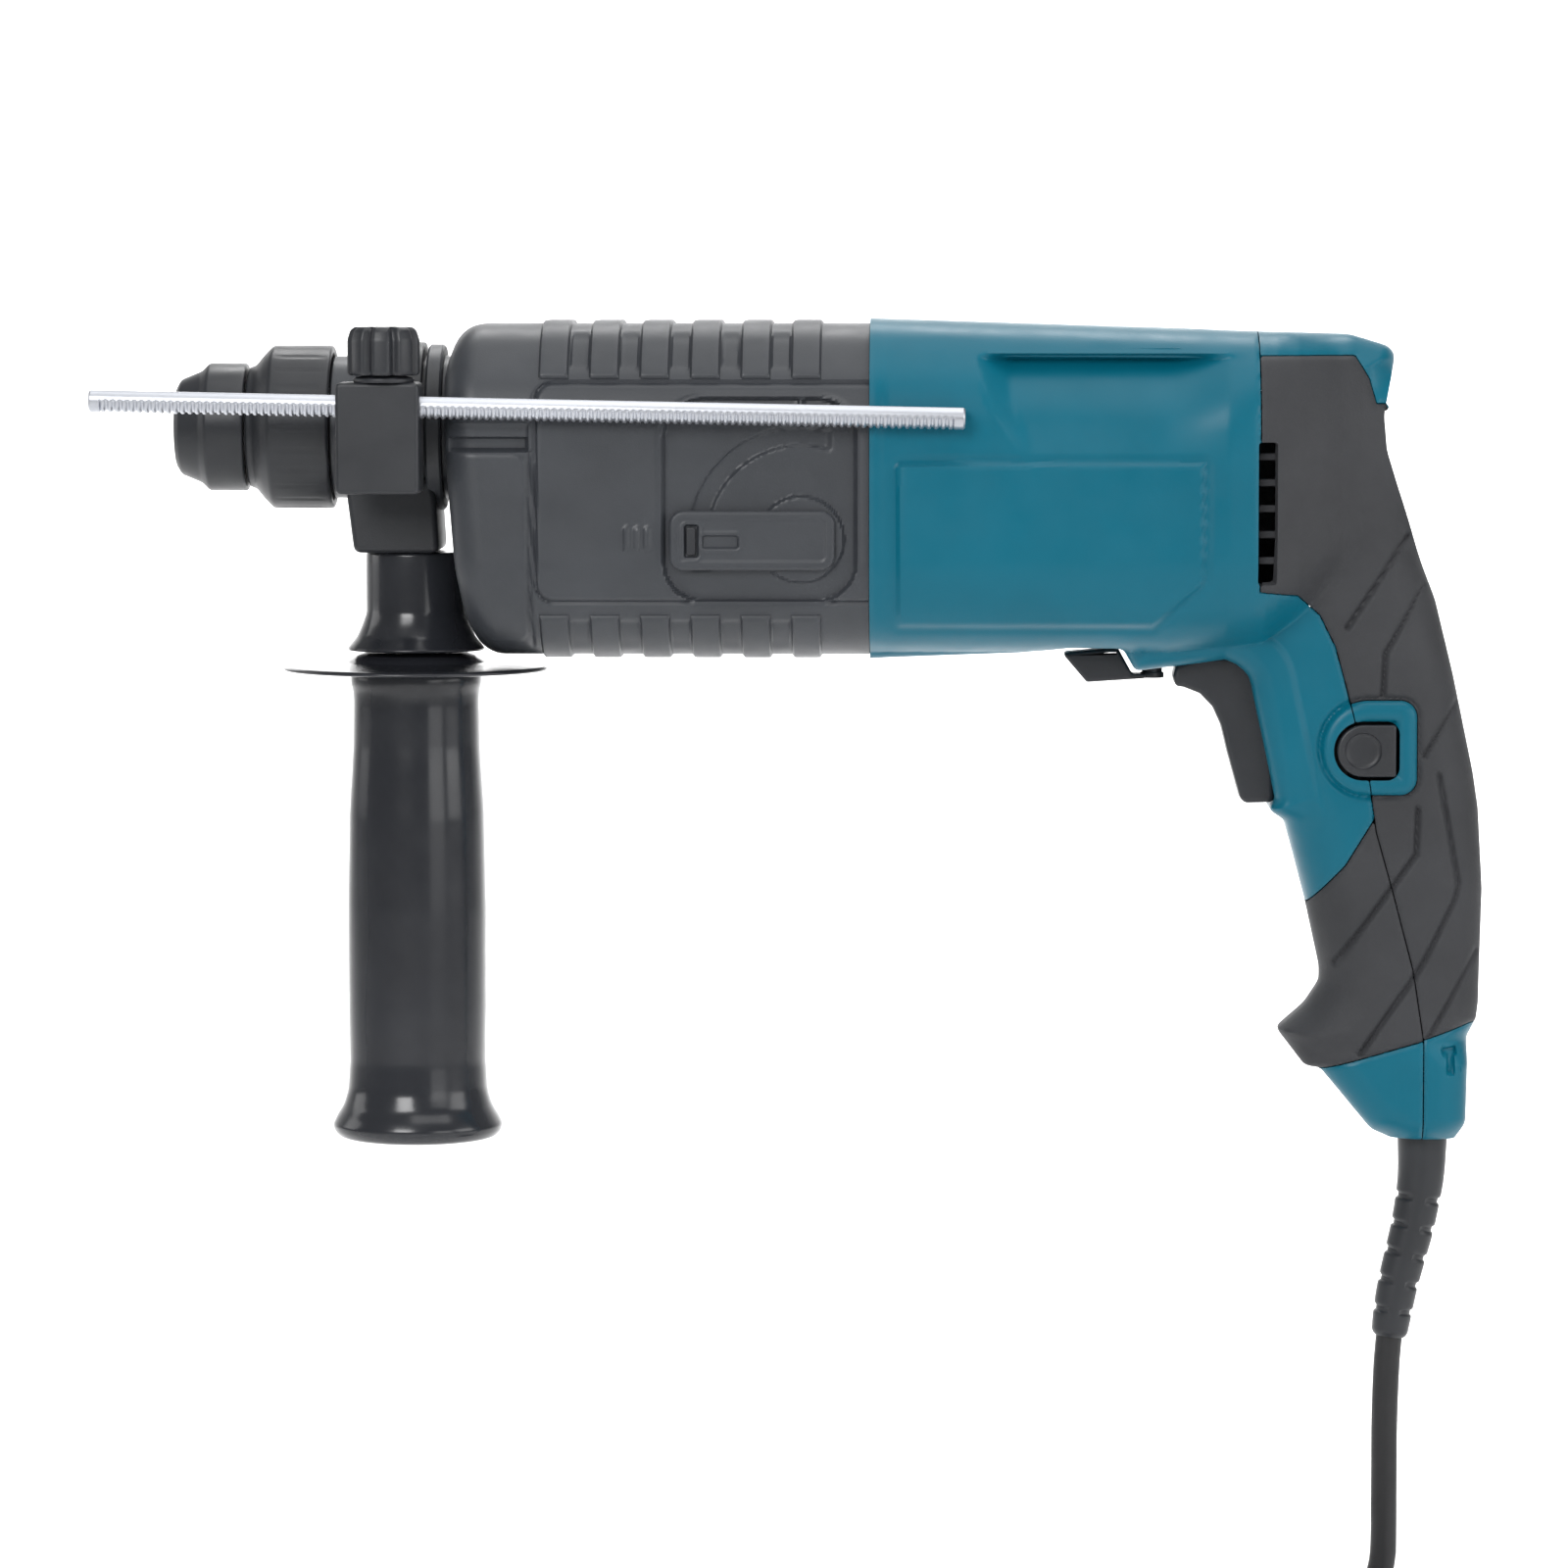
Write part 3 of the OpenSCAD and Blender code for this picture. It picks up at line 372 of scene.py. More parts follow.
# Gives an open skin an inner side and a rim along its open edges.
# back = y makes the inner side a flat one at that place.
def thickened(part, wall=0.0, back=None):
    p, f = part
    inner = p - pointNormals(p, f) * wall
    if back is not None:
        inner = np.column_stack([p[:, 0], np.full(len(p), back), p[:, 2]])
    edges = np.vstack([f[:, [0, 1]], f[:, [1, 2]], f[:, [2, 0]]])
    keys = edges.min(1).astype(np.int64) * len(p) + edges.max(1)
    edge, counts = np.unique(keys, return_inverse=True, return_counts=True)[1:]
    rim = edges[counts[edge.ravel()] == 1]
    n = len(p)
    return np.vstack([p, inner]), np.vstack([
        f, f[:, ::-1] + n,
        np.stack([rim[:, 1], rim[:, 0], rim[:, 0] + n], -1),
        np.stack([rim[:, 1], rim[:, 0] + n, rim[:, 1] + n], -1),
    ])


# A new object with this data, in the scene.
def shownObject(name, data):
    thing = bpy.data.objects.new(name, data)
    bpy.context.scene.collection.objects.link(thing)
    return thing


# A shown piece: its mesh in metres, the body it rides on and the CAD nodes it stands for.
def makePiece(name, part, body, nodes, slotName, sharp=38):
    p, f = part
    mesh = bpy.data.meshes.new(name)
    mesh.vertices.add(len(p))
    mesh.vertices.foreach_set("co", (p * mm).astype(np.float32).ravel())
    mesh.loops.add(f.size)
    mesh.loops.foreach_set("vertex_index", f.astype(np.int32).ravel())
    mesh.polygons.add(len(f))
    mesh.polygons.foreach_set("loop_start", np.arange(0, f.size, 3, dtype=np.int32))
    mesh.update(calc_edges=True)
    mesh.validate()
    mesh.polygons.foreach_set("use_smooth", np.ones(len(mesh.polygons), bool))
    mesh.set_sharp_from_angle(angle=math.radians(sharp))
    mesh.materials.append(materials[slotName])
    piece = shownObject(name, mesh)
    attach(piece, body)
    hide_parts(*nodes)
    print("made", name, len(mesh.polygons), "triangles")
    return piece


# Materials


# Linear colour from the 0 to 255 numbers of a colour picker.
def colourOf(red, green, blue):
    return tuple((c / 255 / 12.92 if c <= 10 else ((c / 255 + 0.055) / 1.055)**2.4)
                 for c in (red, green, blue)) + (1.0,)


# Grain and colour variation from noise in object coordinates, and a painted highlight on sharp edges, over a plain
# shader.
def makeMaterial(name, look):
    material = bpy.data.materials.new(name)
    material.use_nodes = True
    nodes, links = material.node_tree.nodes, material.node_tree.links
    shader = nodes["Principled BSDF"]
    base = colourOf(*look["colour"])
    shader.inputs["Base Color"].default_value = base
    shader.inputs["Roughness"].default_value = look["rough"]
    shader.inputs["Metallic"].default_value = look.get("metal", 0.0)
    shader.inputs["Coat Weight"].default_value = look.get("coat", 0.0)
    shader.inputs["Coat Roughness"].default_value = 0.18
    shader.inputs["Specular IOR Level"].default_value = look.get("shine", 0.5)
    where = nodes.new("ShaderNodeTexCoord")
    stretch = nodes.new("ShaderNodeMapping")
    stretch.inputs["Scale"].default_value = look.get("stretch", (1, 1, 1))
    links.new(where.outputs["Object"], stretch.inputs["Vector"])

    def noise(scale, detail):
        node = nodes.new("ShaderNodeTexNoise")
        node.inputs["Scale"].default_value = scale
        node.inputs["Detail"].default_value = detail
        links.new(stretch.outputs["Vector"], node.inputs["Vector"])
        return node.outputs["Fac"]

    def remap(value, low, high, start=0.3, end=0.7):
        node = nodes.new("ShaderNodeMapRange")
        for socket, number in (("From Min", start), ("From Max", end), ("To Min", low), ("To Max", high)):
            node.inputs[socket].default_value = number
        links.new(value, node.inputs["Value"])
        return node.outputs["Result"]

    def mixed(factor, second):
        node = nodes.new("ShaderNodeMix")
        node.data_type = "RGBA"
        node.inputs["B"].default_value = (*second, 1)
        links.new(factor, node.inputs["Factor"])
        return node

    cloudy = noise(look.get("cloud", 35), 3)
    grain = noise(look.get("grain", 2600), 2)
    change = look.get("change", 0.12)
    cloud = mixed(remap(cloudy, 0, 1), [min(1, c * (1 + change)) for c in base[:3]])
    cloud.inputs["A"].default_value = (*[c * (1 - change) for c in base[:3]], 1)
    colour = cloud.outputs["Result"]
    if look.get("edge"):
        # Painted highlight on sharp edges: lighter where the surface turns sharply outwards.
        shape = nodes.new("ShaderNodeNewGeometry")
        edgeHighlight = remap(shape.outputs["Pointiness"], 0, look["edge"], 0.53, 0.66)
        pale = mixed(edgeHighlight, [c * 0.6 + 0.12 for c in base[:3]])
        links.new(colour, pale.inputs["A"])
        colour = pale.outputs["Result"]
    links.new(colour, shader.inputs["Base Color"])
    spread = look.get("spread", 0.05)
    links.new(remap(noise(look.get("smudge", 90), 4), look["rough"] - spread, look["rough"] + spread),
              shader.inputs["Roughness"])
    bump = nodes.new("ShaderNodeBump")
    bump.inputs["Strength"].default_value = look.get("bump", 0.12)
    bump.inputs["Distance"].default_value = look.get("depth", 0.0002)
    links.new(grain, bump.inputs["Height"])
    links.new(bump.outputs["Normal"], shader.inputs["Normal"])
    return material


# The edge number sets how strong the painted highlight on sharp edges is.
looks = {
    "gear_plastic": {"colour": (58, 61, 66), "rough": 0.42, "grain": 2400, "bump": 0.16, "edge": 0.25},
    "teal_plastic": {"colour": (0, 101, 123), "rough": 0.38, "grain": 2200, "bump": 0.1, "shine": 0.3,
                     "edge": 0.12, "change": 0.05},
    "soft_rubber": {"colour": (58, 59, 62), "rough": 0.62, "grain": 1700, "bump": 0.3, "shine": 0.35},
    "black_plastic": {"colour": (42, 44, 48), "rough": 0.4, "grain": 2600, "bump": 0.12, "edge": 0.2},
    "gloss_black": {"colour": (40, 42, 47), "rough": 0.22, "grain": 900, "bump": 0.03, "coat": 0.25},
    "zinc_steel": {"colour": (206, 209, 216), "rough": 0.34, "metal": 0.85, "grain": 1800, "bump": 0.08,
                   "stretch": (0.15, 1, 1)},
    "steel": {"colour": (178, 180, 184), "rough": 0.32, "metal": 1.0, "stretch": (0.2, 1, 1)},
    "cast_alloy": {"colour": (168, 170, 174), "rough": 0.48, "metal": 1.0, "grain": 1200, "bump": 0.25},
    "copper": {"colour": (196, 120, 78), "rough": 0.34, "metal": 1.0, "grain": 1500, "bump": 0.3},
    "brass": {"colour": (205, 172, 96), "rough": 0.34, "metal": 1.0},
    "carbon": {"colour": (46, 46, 48), "rough": 0.7, "grain": 2600, "bump": 0.3},
    "cord_rubber": {"colour": (34, 34, 36), "rough": 0.5, "grain": 1900, "bump": 0.14},
}
materials = {name: makeMaterial(name, look) for name, look in looks.items()}
slotOf = {row["node"]: row["material_slot"] for row in frame["record"]["subparts"]}
for node, piece in frame["nodes"].items():
    for place in piece.material_slots:
        place.material = materials[slotOf[node]]
print("materials done")

# Camera, stage and light


# Sets the place and turns the thing until its own -Z axis looks at the target.
def aimed(thing, place, target):
    thing.location = [c * mm for c in place]
    way = np.asarray(target, float) - np.asarray(place, float)
    flat = math.hypot(way[0], way[1])
    thing.rotation_euler = (math.pi / 2 + math.atan2(way[2], flat), 0, math.atan2(-way[0], way[1]))


view = shownObject("camera", bpy.data.cameras.new("camera"))
view.data.lens = camera["lens"]
view.data.sensor_width = 36
view.data.clip_start = 0.01
view.data.clip_end = 30
aimed(view, camera["place"], camera["target"])
bpy.context.scene.camera = view

stage = {"width": 7000, "front": -2600, "back": 1500, "curve": 900, "height": 1300, "colour": (250, 250, 250)}


# A pale floor that turns up behind the tool in one wide curve.
def makeStage():
    floor = cord["floor"] - 0.4
    bend = np.linspace(0, math.pi / 2, 24)
    y = np.concatenate([[stage["front"], 0], stage["back"] + stage["curve"] * np.sin(bend),
                        [stage["back"] + stage["curve"]]])
    z = np.concatenate([[floor, floor], floor + stage["curve"] * (1 - np.cos(bend)), [stage["height"]]])
    x = np.array([-stage["width"] / 2, stage["width"] / 2]) - 170
    points = np.stack(np.broadcast_arrays(x[None, :], y[:, None], z[:, None]), -1).reshape(-1, 3)
    faces = gridFaces(len(y), 2, False)
    mesh = bpy.data.meshes.new("floor")
    mesh.from_pydata((points * mm).tolist(), [], faces.tolist())
    mesh.polygons.foreach_set("use_smooth", np.ones(len(faces), bool))
    material = makeMaterial("paper", {"colour": stage["colour"], "rough": 0.9, "grain": 300, "bump": 0.02,
                                      "change": 0.005, "shine": 0.1})
    mesh.materials.append(material)
    shownObject("floor", mesh)


makeStage()

lamps = [
    {"name": "key", "place": (-750, -1500, 620), "target": (-170, 0, -80), "size": 700, "power": 13.6},
    {"name": "fill", "place": (950, -1500, 250), "target": (-120, 0, -80), "size": 900, "power": 4.6},
    {"name": "top", "place": (20, -280, 1150), "target": (-80, 0, 0), "size": 1200, "power": 8},
    {"name": "left rim", "place": (-1300, 250, 150), "target": (-270, 0, -100), "size": 500, "power": 1.2},
    {"name": "right", "place": (1150, -450, 250), "target": (0, 0, -60), "size": 700, "power": 4},
    {"name": "backdrop", "place": (-170, 1000, 1150), "target": (-170, 2200, -250), "size": 900, "power": 58},
]
for lamp in lamps:
    light = bpy.data.lights.new(lamp["name"], "AREA")
    light.size = lamp["size"] * mm
    light.energy = lamp["power"]
    aimed(shownObject(lamp["name"], light), lamp["place"], lamp["target"])
world = bpy.data.worlds.new("studio")
world.use_nodes = True
world.node_tree.nodes["Background"].inputs["Color"].default_value = (1, 1, 1, 1)
world.node_tree.nodes["Background"].inputs["Strength"].default_value = 0.2
bpy.context.scene.world = world
bpy.context.scene.view_settings.view_transform = "Standard"
print("stage done")

# Cord, plug and tie

cordPath = np.vstack([curveThrough(cord["hang"], 4)[:-1], [cord["hang"][-1]], coilPath()[:-1],
                      curveThrough(cord["tail"], 4)])
cordPiece = makePiece("cordFlex", carried(cordPath, cord["diameter"] / 2, 14, up=(0.02, 0.3, 1)), "housing",
                      ["cord", "cord_coil", "cord_tail"], "cord_rubber")

guard = {
    "path": [(13.2, 0, -194), (13.2, 0, -203), (12.9, 0, -212), (11.8, 0, -220), (10.3, 0, -228),
             (8.3, 0, -236), (6.4, 0, -244), (5, 0, -252), (4.2, 0, -258)],
    "radii": [7, 7, 6.7, 6.4, 6.2, 6, 5.8, 5.6, 5.1], "grooves": 8, "depth": 0.7,
}


# A bent tube whose radius follows the list, less a cosine row of grooves.
def makeGuard():
    path = curveThrough(guard["path"], 0.6)
    share = np.linspace(0, 1, len(path))
    radii = np.interp(share, np.linspace(0, 1, len(guard["radii"])), guard["radii"])
    # Grooves on two sides, as in a bend relief, below the part held by the grip.
    wave = np.cos(2 * math.pi * guard["grooves"] * share)
    dip = guard["depth"] * smooth((wave - 0.55) / 0.3) * (share > 0.3) * (share < 0.95)

    def section(angle, row, r):
        return r - dip[row] * smooth((np.abs(np.sin(angle)) - 0.25) / 0.2)

    radii[-3:] -= [0.15, 0.4, 0.9]
    return carried(path, radii, 48, section=section)


makePiece("cordGuard", makeGuard(), "housing", ["cord_guard"], "black_plastic")

plug = {"place": (-32, -77, -340.5), "relief": 22, "length": 36, "width": 35, "height": 18, "pin": 2.4, "gap": 9.5}


# A rounded box from powers of sine and cosine, a ribbed relief and two pins.
def makePlug():
    x0, y0, z0 = plug["place"]
    along = np.linspace(0, 1, 40)
    angle = np.linspace(0, 2 * math.pi, 72, endpoint=False)
    # Half sizes grow from the relief to the body and round off at both ends of the body.
    ends = np.sqrt(np.clip(1 - np.clip((np.abs(along - 0.5) - 0.4) / 0.1, 0, 1)**2 * 0.45, 0, 1))
    half = (plug["width"] / 2 * ends)[:, None] * (0.9 + 0.1 * smooth(along * 3))[:, None]
    tall = (plug["height"] / 2 * ends)[:, None]
    c, s = np.cos(angle)[None], np.sin(angle)[None]
    y = half * np.sign(c) * np.abs(c)**0.7
    z = tall * np.sign(s) * np.abs(s)**0.7
    x = np.repeat((plug["relief"] + plug["length"] * along)[:, None], len(angle), 1)
    body = outward(tubeOf(np.stack([x + x0, y + y0, z + z0], -1)))
    ribs = [(-0.2, 3.85), (0, 5.0)]
    for k in range(6):
        start, wider = 1 + 3.5 * k, 0.35 * k
        ribs += [(start, 5.2 + wider), (start + 2, 5.25 + wider), (start + 2.2, 4.5 + wider),
                 (start + 3.2, 4.5 + wider)]
    ribs += [(22.6, 7.6), (22.8, 6.5)]
    relief = turned(ribs, "x", plug["place"], 40, 0.25)
    pin = [(57, plug["pin"]), (74.5, plug["pin"]), (76.4, plug["pin"] - 0.7), (77, plug["pin"] - 1.6)]
    pins = [turned(pin, "x", (x0, y0 + side * plug["gap"], z0), 28, 0.4) for side in (-1, 1)]
    return joined(body, relief), joined(*pins)


plugBody, plugPins = makePlug()
plugPiece = makePiece("plugBody", plugBody, "housing", ["plug"], "black_plastic")
pinPiece = makePiece("plugPins", plugPins, "housing", ["plug"], "steel")


# A flat band round the bundle of turns on the side away from the cord's way in.
def makeTie():
    half = (cord["outer"] - cord["inner"] + cord["diameter"]) / 2 + 0.5
    tall = cord["layers"] * cord["diameter"] / 2 + 0.35
    t = np.linspace(0, 2 * math.pi, 96, endpoint=False)
    c, s = np.cos(t), np.sin(t)
    out = (cord["outer"] + cord["inner"]) / 2 + half * np.sign(c) * np.abs(c)**0.35
    up = cord["floor"] + tall - 0.3 + tall * np.sign(s) * np.abs(s)**0.35
    rings = []
    for across, grow in ((-4, 0), (-4, 0.7), (-3.6, 0.95), (3.6, 0.95), (4, 0.7), (4, 0)):
        middle, level = (cord["outer"] + cord["inner"]) / 2, cord["floor"] + tall
        rr = out + grow * (out - middle) / half
        zz = np.maximum(up + grow * (up - level) / tall, cord["floor"])
        rings.append(np.column_stack([cord["centre"][0] + across + 0 * rr, cord["centre"][1] - rr, zz]))
    rings.append(rings[0])
    return outward(tubeOf(np.stack(rings), False, False))


makePiece("tie", makeTie(), "housing", ["coil_tie"], "black_plastic")
print("cord done")

# Motor housing, grip and rear cover: one smooth skin that is then cut into its four parts

grip = {
    "width": 17.0, "round": 28.0, "step": 0.92, "fine": 0.8, "coarse": 1.7,
    "wall": 2.2, "gap": 0.17, "lip": 21.0, "lipShare": 0.925, "hold": 8.5, "edge": 22, "middle": 48,
}
rungs = np.array([
    (-143.5, -64.6, -143.5, 30.7), (-100, -62.9, -103, 29.4), (-87.6, -61.2, -88, 28.9),
    (-72.8, -61.4, -70, 28.3), (-69, -68.1, -56, 27.9), (-60, -67, -45, 27.4),
    (-48.4, -65.5, -33.6, 27), (-43.9, -64.8, -20, 26.7), (-40.6, -66.2, -8.9, 26.4),
    (-38.5, -68, 2.2, 23), (-37.4, -69.3, 4, 20.4), (-36.9, -70.3, 1.7, 11.3), (-36.4, -72, 0, 4),
    (-35.9, -74.5, 0.8, -5.9), (-35.3, -77.3, 3.8, -15.4), (-34.7, -80, 9.7, -32.9),
    (-34.2, -82.3, 15.6, -48.1), (-32.5, -90, 20.8, -69.3), (-29.5, -104.4, 26.6, -97),
    (-31.4, -107.1, 27.2, -101), (-26.7, -110.4, 28.1, -107), (-20.6, -133.2, 29.4, -129.9),
    (-16.4, -152.3, 28.8, -151.3), (-16.4, -156.5, 28.7, -156), (-20.6, -162.9, 28.6, -162),
    (-28.6, -169.9, 28, -167), (-20.6, -179.9, 25.4, -172), (-16.4, -180.4, 25.3, -176),
    (-1.9, -197.9, 24.8, -196), (3, -200.1, 22, -200.5),
], float)
seam = [
    (-35.2, 27.2), (-35.2, -45), (-24.2, -46.3), (-17.6, -52.1), (-13.2, -61), (-10, -72.6), (-3.6, -98.1),
    (-1.5, -112.9), (3.3, -129.9), (9.2, -152.3), (12.3, -172.5), (12.3, -201.8),
]
behindSeam = [(60, 40)] + seam + [(60, -201.8)]
frontPad = [(-1.9, -109.3), (-10, -122.5), (-16.4, -129.4), (-20.3, -133.5), (-40, -140), (-40, -180.6),
            (-16.4, -180.4), (40, -164), (40, -109.3)]
rearPad = [(-40, 20.5), (-8, 20.5), (-4, 14), (-2, 7), (20, 7), (60, -60), (60, -167.6), (25.6, -167.6),
           (0, -175.5), (-40, -120)]
ringShape = {"x": -3.6, "z": -89.3, "r": 13.4, "side": 9.9, "proud": 1.8}
button = {"x": -5.3, "z": -90.1, "r": 7.3, "side": 3.9, "gap": 0.8}
labelPanel = [(-135, -9.9), (-51.5, -9.9), (-51.5, -42), (-65, -54), (-135, -54)]
triggerOpening = [(-59.5, -61), (-59.5, -70), (-52, -80), (-34, -108), (-27.5, -106.2), (-30, -82), (-36, -61)]
rubberGrooves = [
    [(6.9, -30.1), (-10, -55.6)], [(11.8, -43.9), (0.7, -62.9), (0.1, -75.7)], [(21.4, -76.8), (11.8, -91.7)],
    [(16.1, -97), (21.9, -127.9), (20.8, -132), (12.4, -149), (9.2, -154.3), (-5.7, -175.7)],
    [(10.2, -106.5), (9.7, -119.3), (2.8, -128.9), (-12.6, -150.1)], [(27.2, -147), (13.4, -171.4)],
]


# Distance to a circle joined to a square that ends at shape["side"], negative inside.
def dShape(x, z, shape, grow=0.0):
    circle = np.hypot(x - shape["x"], z - shape["z"]) - shape["r"]
    corner = 0.36 * shape["r"]
    box = roundBox(x, z, shape["x"] - 3 * corner, shape["z"] - shape["r"], shape["side"],
                   shape["z"] + shape["r"], corner)
    return np.where(x > shape["x"], box, circle) - grow


# The larger of two values, blended over a width of k.
def softMax(a, b, k):
    h = np.clip(0.5 + 0.5 * (a - b) / k, 0, 1)
    return b * (1 - h) + a * h + k * h * (1 - h)


# Half width at a depth inside an edge: a quarter circle and then flat.
def rounded(depth, width, radius):
    d = np.clip(radius - depth, 0, radius)
    return width - radius + np.sqrt(radius**2 - d**2) + np.minimum(depth, 0) * 1.5


# Each rung spans from edge to edge, and the height over it is a rounded edge plus the details.
def makeGripSkin():
    # Rungs from the front or lower edge to the back or upper edge, filled in between.
    middle = (rungs[:, :2] + rungs[:, 2:]) / 2
    along = np.concatenate([[0], np.cumsum(np.hypot(*np.diff(middle, axis=0).T) * 0.5
                            + np.maximum(np.hypot(*np.diff(rungs[:, :2], axis=0).T),
                                         np.hypot(*np.diff(rungs[:, 2:], axis=0).T)) * 0.5)])
    # Rungs lie closer together on the handle, which has the finer details, than on the barrel.
    along = np.concatenate([[0], np.cumsum(np.diff(along) * np.where(middle[1:, 0] < -56, 0.75, 1.25))])
    where = np.linspace(0, along[-1], int(along[-1] / grip["step"]))
    ends = np.column_stack([np.interp(where, along, rungs[:, k]) for k in range(4)])
    for _ in range(3):
        ends[1:-1] = (ends[:-2] + 2 * ends[1:-1] + ends[2:]) / 4
    lower, upper = ends[:, :2], ends[:, 2:]

    def columns(step):
        # Even steps round the quarter circle at both edges and straight steps between.
        turn = np.linspace(0, math.pi / 2, int(grip["edge"] * math.pi / 2 / step))
        bend = grip["edge"] * (1 - np.cos(turn))
        flat = np.linspace(grip["edge"], grip["middle"], int((grip["middle"] - grip["edge"]) / step))[1:]
        half = np.concatenate([bend, flat]) / (2 * grip["middle"])
        return np.concatenate([half, 1 - half[::-1][1:]])

    near, far = columns(grip["fine"]), columns(grip["coarse"])
    share = np.concatenate([near, far[::-1]])
    side = np.concatenate([-np.ones(len(near)), np.ones(len(far))])
    # One column keeps to the lip of the hand hold, so the lip comes out straight.
    lip = (grip["lip"] - lower[:, 1]) / (upper[:, 1] - lower[:, 1])
    held = smooth((-16 - upper[:, 0]) / 12)
    kink = grip["lipShare"]
    lip = (kink * (1 - held) + lip * held)[:, None]
    share = share[None, :]
    share = np.where(share < kink, share * lip / kink, 1 - (1 - share) * (1 - lip) / (1 - kink))[..., None]
    spot = lower[:, None] * (1 - share) + upper[:, None] * share
    x, z = spot[..., 0], spot[..., 1]
    edge = np.minimum(edgeDistance(spot, lower), edgeDistance(spot, upper))
    top = np.interp(x, [-143.6, -88, -33.6, -8.9, 2.2, 10], [30.7, 28.9, 27, 26.4, 23, 19]) - z
    low = z - np.interp(x, [-60, -33.6, -10, 10], [-62.6, -60, -46, -42])
    plan = np.interp(x, [-150, -143.6, -44, -36, -30, -24, -18, -12, -6, 4, 40],
                     [39.5, 39.5, 39.2, 38.2, 36.5, 33.5, 29, 24, 20, 15.5, 10])
    barrel = rounded(np.minimum(top, low), plan, grip["round"])
    # Tighter rounding along the trigger and at the foot, fuller rounding where the hand holds.
    tight = smooth((z + 118) / 12) * smooth((-18 - x) / 10)
    foot = smooth((-172 - z) / 8)
    bend = 15.8 - 9.4 * tight - 6.5 * foot
    handle = rounded(edge, grip["width"], bend)
    h = softMax(barrel, handle, 5.0)
    # The last 6 mm of the foot round off.
    h = h * np.sqrt(1 - np.clip(1 - (200.4 + z) / 6, 0, 1)**2 * 0.5)
    h += details(x, z, h, side, edge)
    h = np.maximum(h, 0.02)
    rings = np.stack([x, side * h, z], -1)
    return outward(tubeOf(rings, False, True))


# Distance of each point to a curve, searching only near the point's own rung.
def edgeDistance(spot, line):
    n = len(line)
    row = np.arange(n)
    best = np.full(spot.shape[:2], 1e9)
    for k in range(-45, 45):
        a = line[np.clip(row + k, 0, n - 1)][:, None]
        b = line[np.clip(row + k + 1, 0, n - 1)][:, None]
        way = b - a
        t = ((spot - a) * way).sum(-1) / ((way * way).sum(-1) + 1e-12)
        gap = spot - a - way * np.clip(t, 0, 1)[..., None]
        best = np.minimum(best, (gap * gap).sum(-1))
    return np.sqrt(best)


# A bell-shaped dip along the line where the distance is zero.
def groove(distance, depth, width):
    return -depth * np.exp(-(distance / width)**2)


# Height changes on the sides: panels, hand hold, seams, grooves and the button ring.
def details(x, z, h, side, edge):
    extra = np.zeros_like(x)
    panel = signed(x, z, labelPanel)
    extra += 1.1 * smooth((1.2 - panel) / 1.5) + groove(panel - 1.7, 0.4, 1.0)
    # Hand hold: deepest right under the lip, rising to nothing lower down.
    v = np.clip((grip["lip"] - z) / 29, 0, 1)
    frontLine = np.interp(z, [-8, 8, 20], [-102, -111, -114.5])
    ramp = np.clip((x - frontLine) / np.interp(z, [-8, 20], [4, 10]), 0, 1)
    inside = np.clip((grip["lip"] - z) / 1.5, 0, 1) * (0.7 * ramp + 0.3 * smooth(ramp)) * (x < -20)
    fade = smooth((-36 - x) / 26)
    extra -= grip["hold"] * (1 - v)**1.15 * inside * fade
    # Collar next to the joint, a little proud of the rest.
    extra += 0.5 * smooth((-139.5 - x) / 1.0)
    # Raised border along the trigger side of the grip.
    border = smooth((x + 78) / 8) * smooth((-14 - x) / 6) * smooth((-56 - z) / 5) * smooth((z + 113) / 5)
    extra += border * (0.9 * smooth((13 - edge) / 2.5) - 0.2)
    # Seams: a narrow dip on each side of the line where two parts meet.
    extra += groove(away(x, z, seam), 0.45, 0.6)
    ring = dShape(x, z, ringShape)
    onRing = side < 0
    behind = signed(x, z, behindSeam)
    pad = np.where(behind < 0, signed(x, z, rearPad), signed(x, z, frontPad))
    extra += groove(pad, 0.5, 0.7) + 0.35 * smooth(-pad / 1.2)
    for line in rubberGrooves:
        extra += groove(away(x, z, line), 1.5, 0.8) * smooth(-pad / 0.8) * smooth(ring / 1.5)
    # The ring round the lock button is a bead with a quarter round on both sides.
    bead = np.sqrt(np.clip(1 - ((ring + 3.1) / 3.1)**2, 0, 1))
    lift = smooth(-ring / 0.6)
    raised = grip["width"] - h + 0.1 + ringShape["proud"] * bead
    extra = np.where(onRing, extra * (1 - lift) + raised * lift, extra)
    extra += np.where(onRing, groove(ring - 0.5, 0.8, 0.7), 0)
    # Two short slots in the foot.
    slot = np.minimum(roundBox(x, z, 17.4, -176.0, 21.6, -174.0, 0.4),
                      roundBox(x, z, 18.9, -181.4, 21.0, -175, 0.4))
    extra -= 1.8 * smooth((0.3 - slot) / 0.7)
    extra *= smooth(h / 4)
    return extra


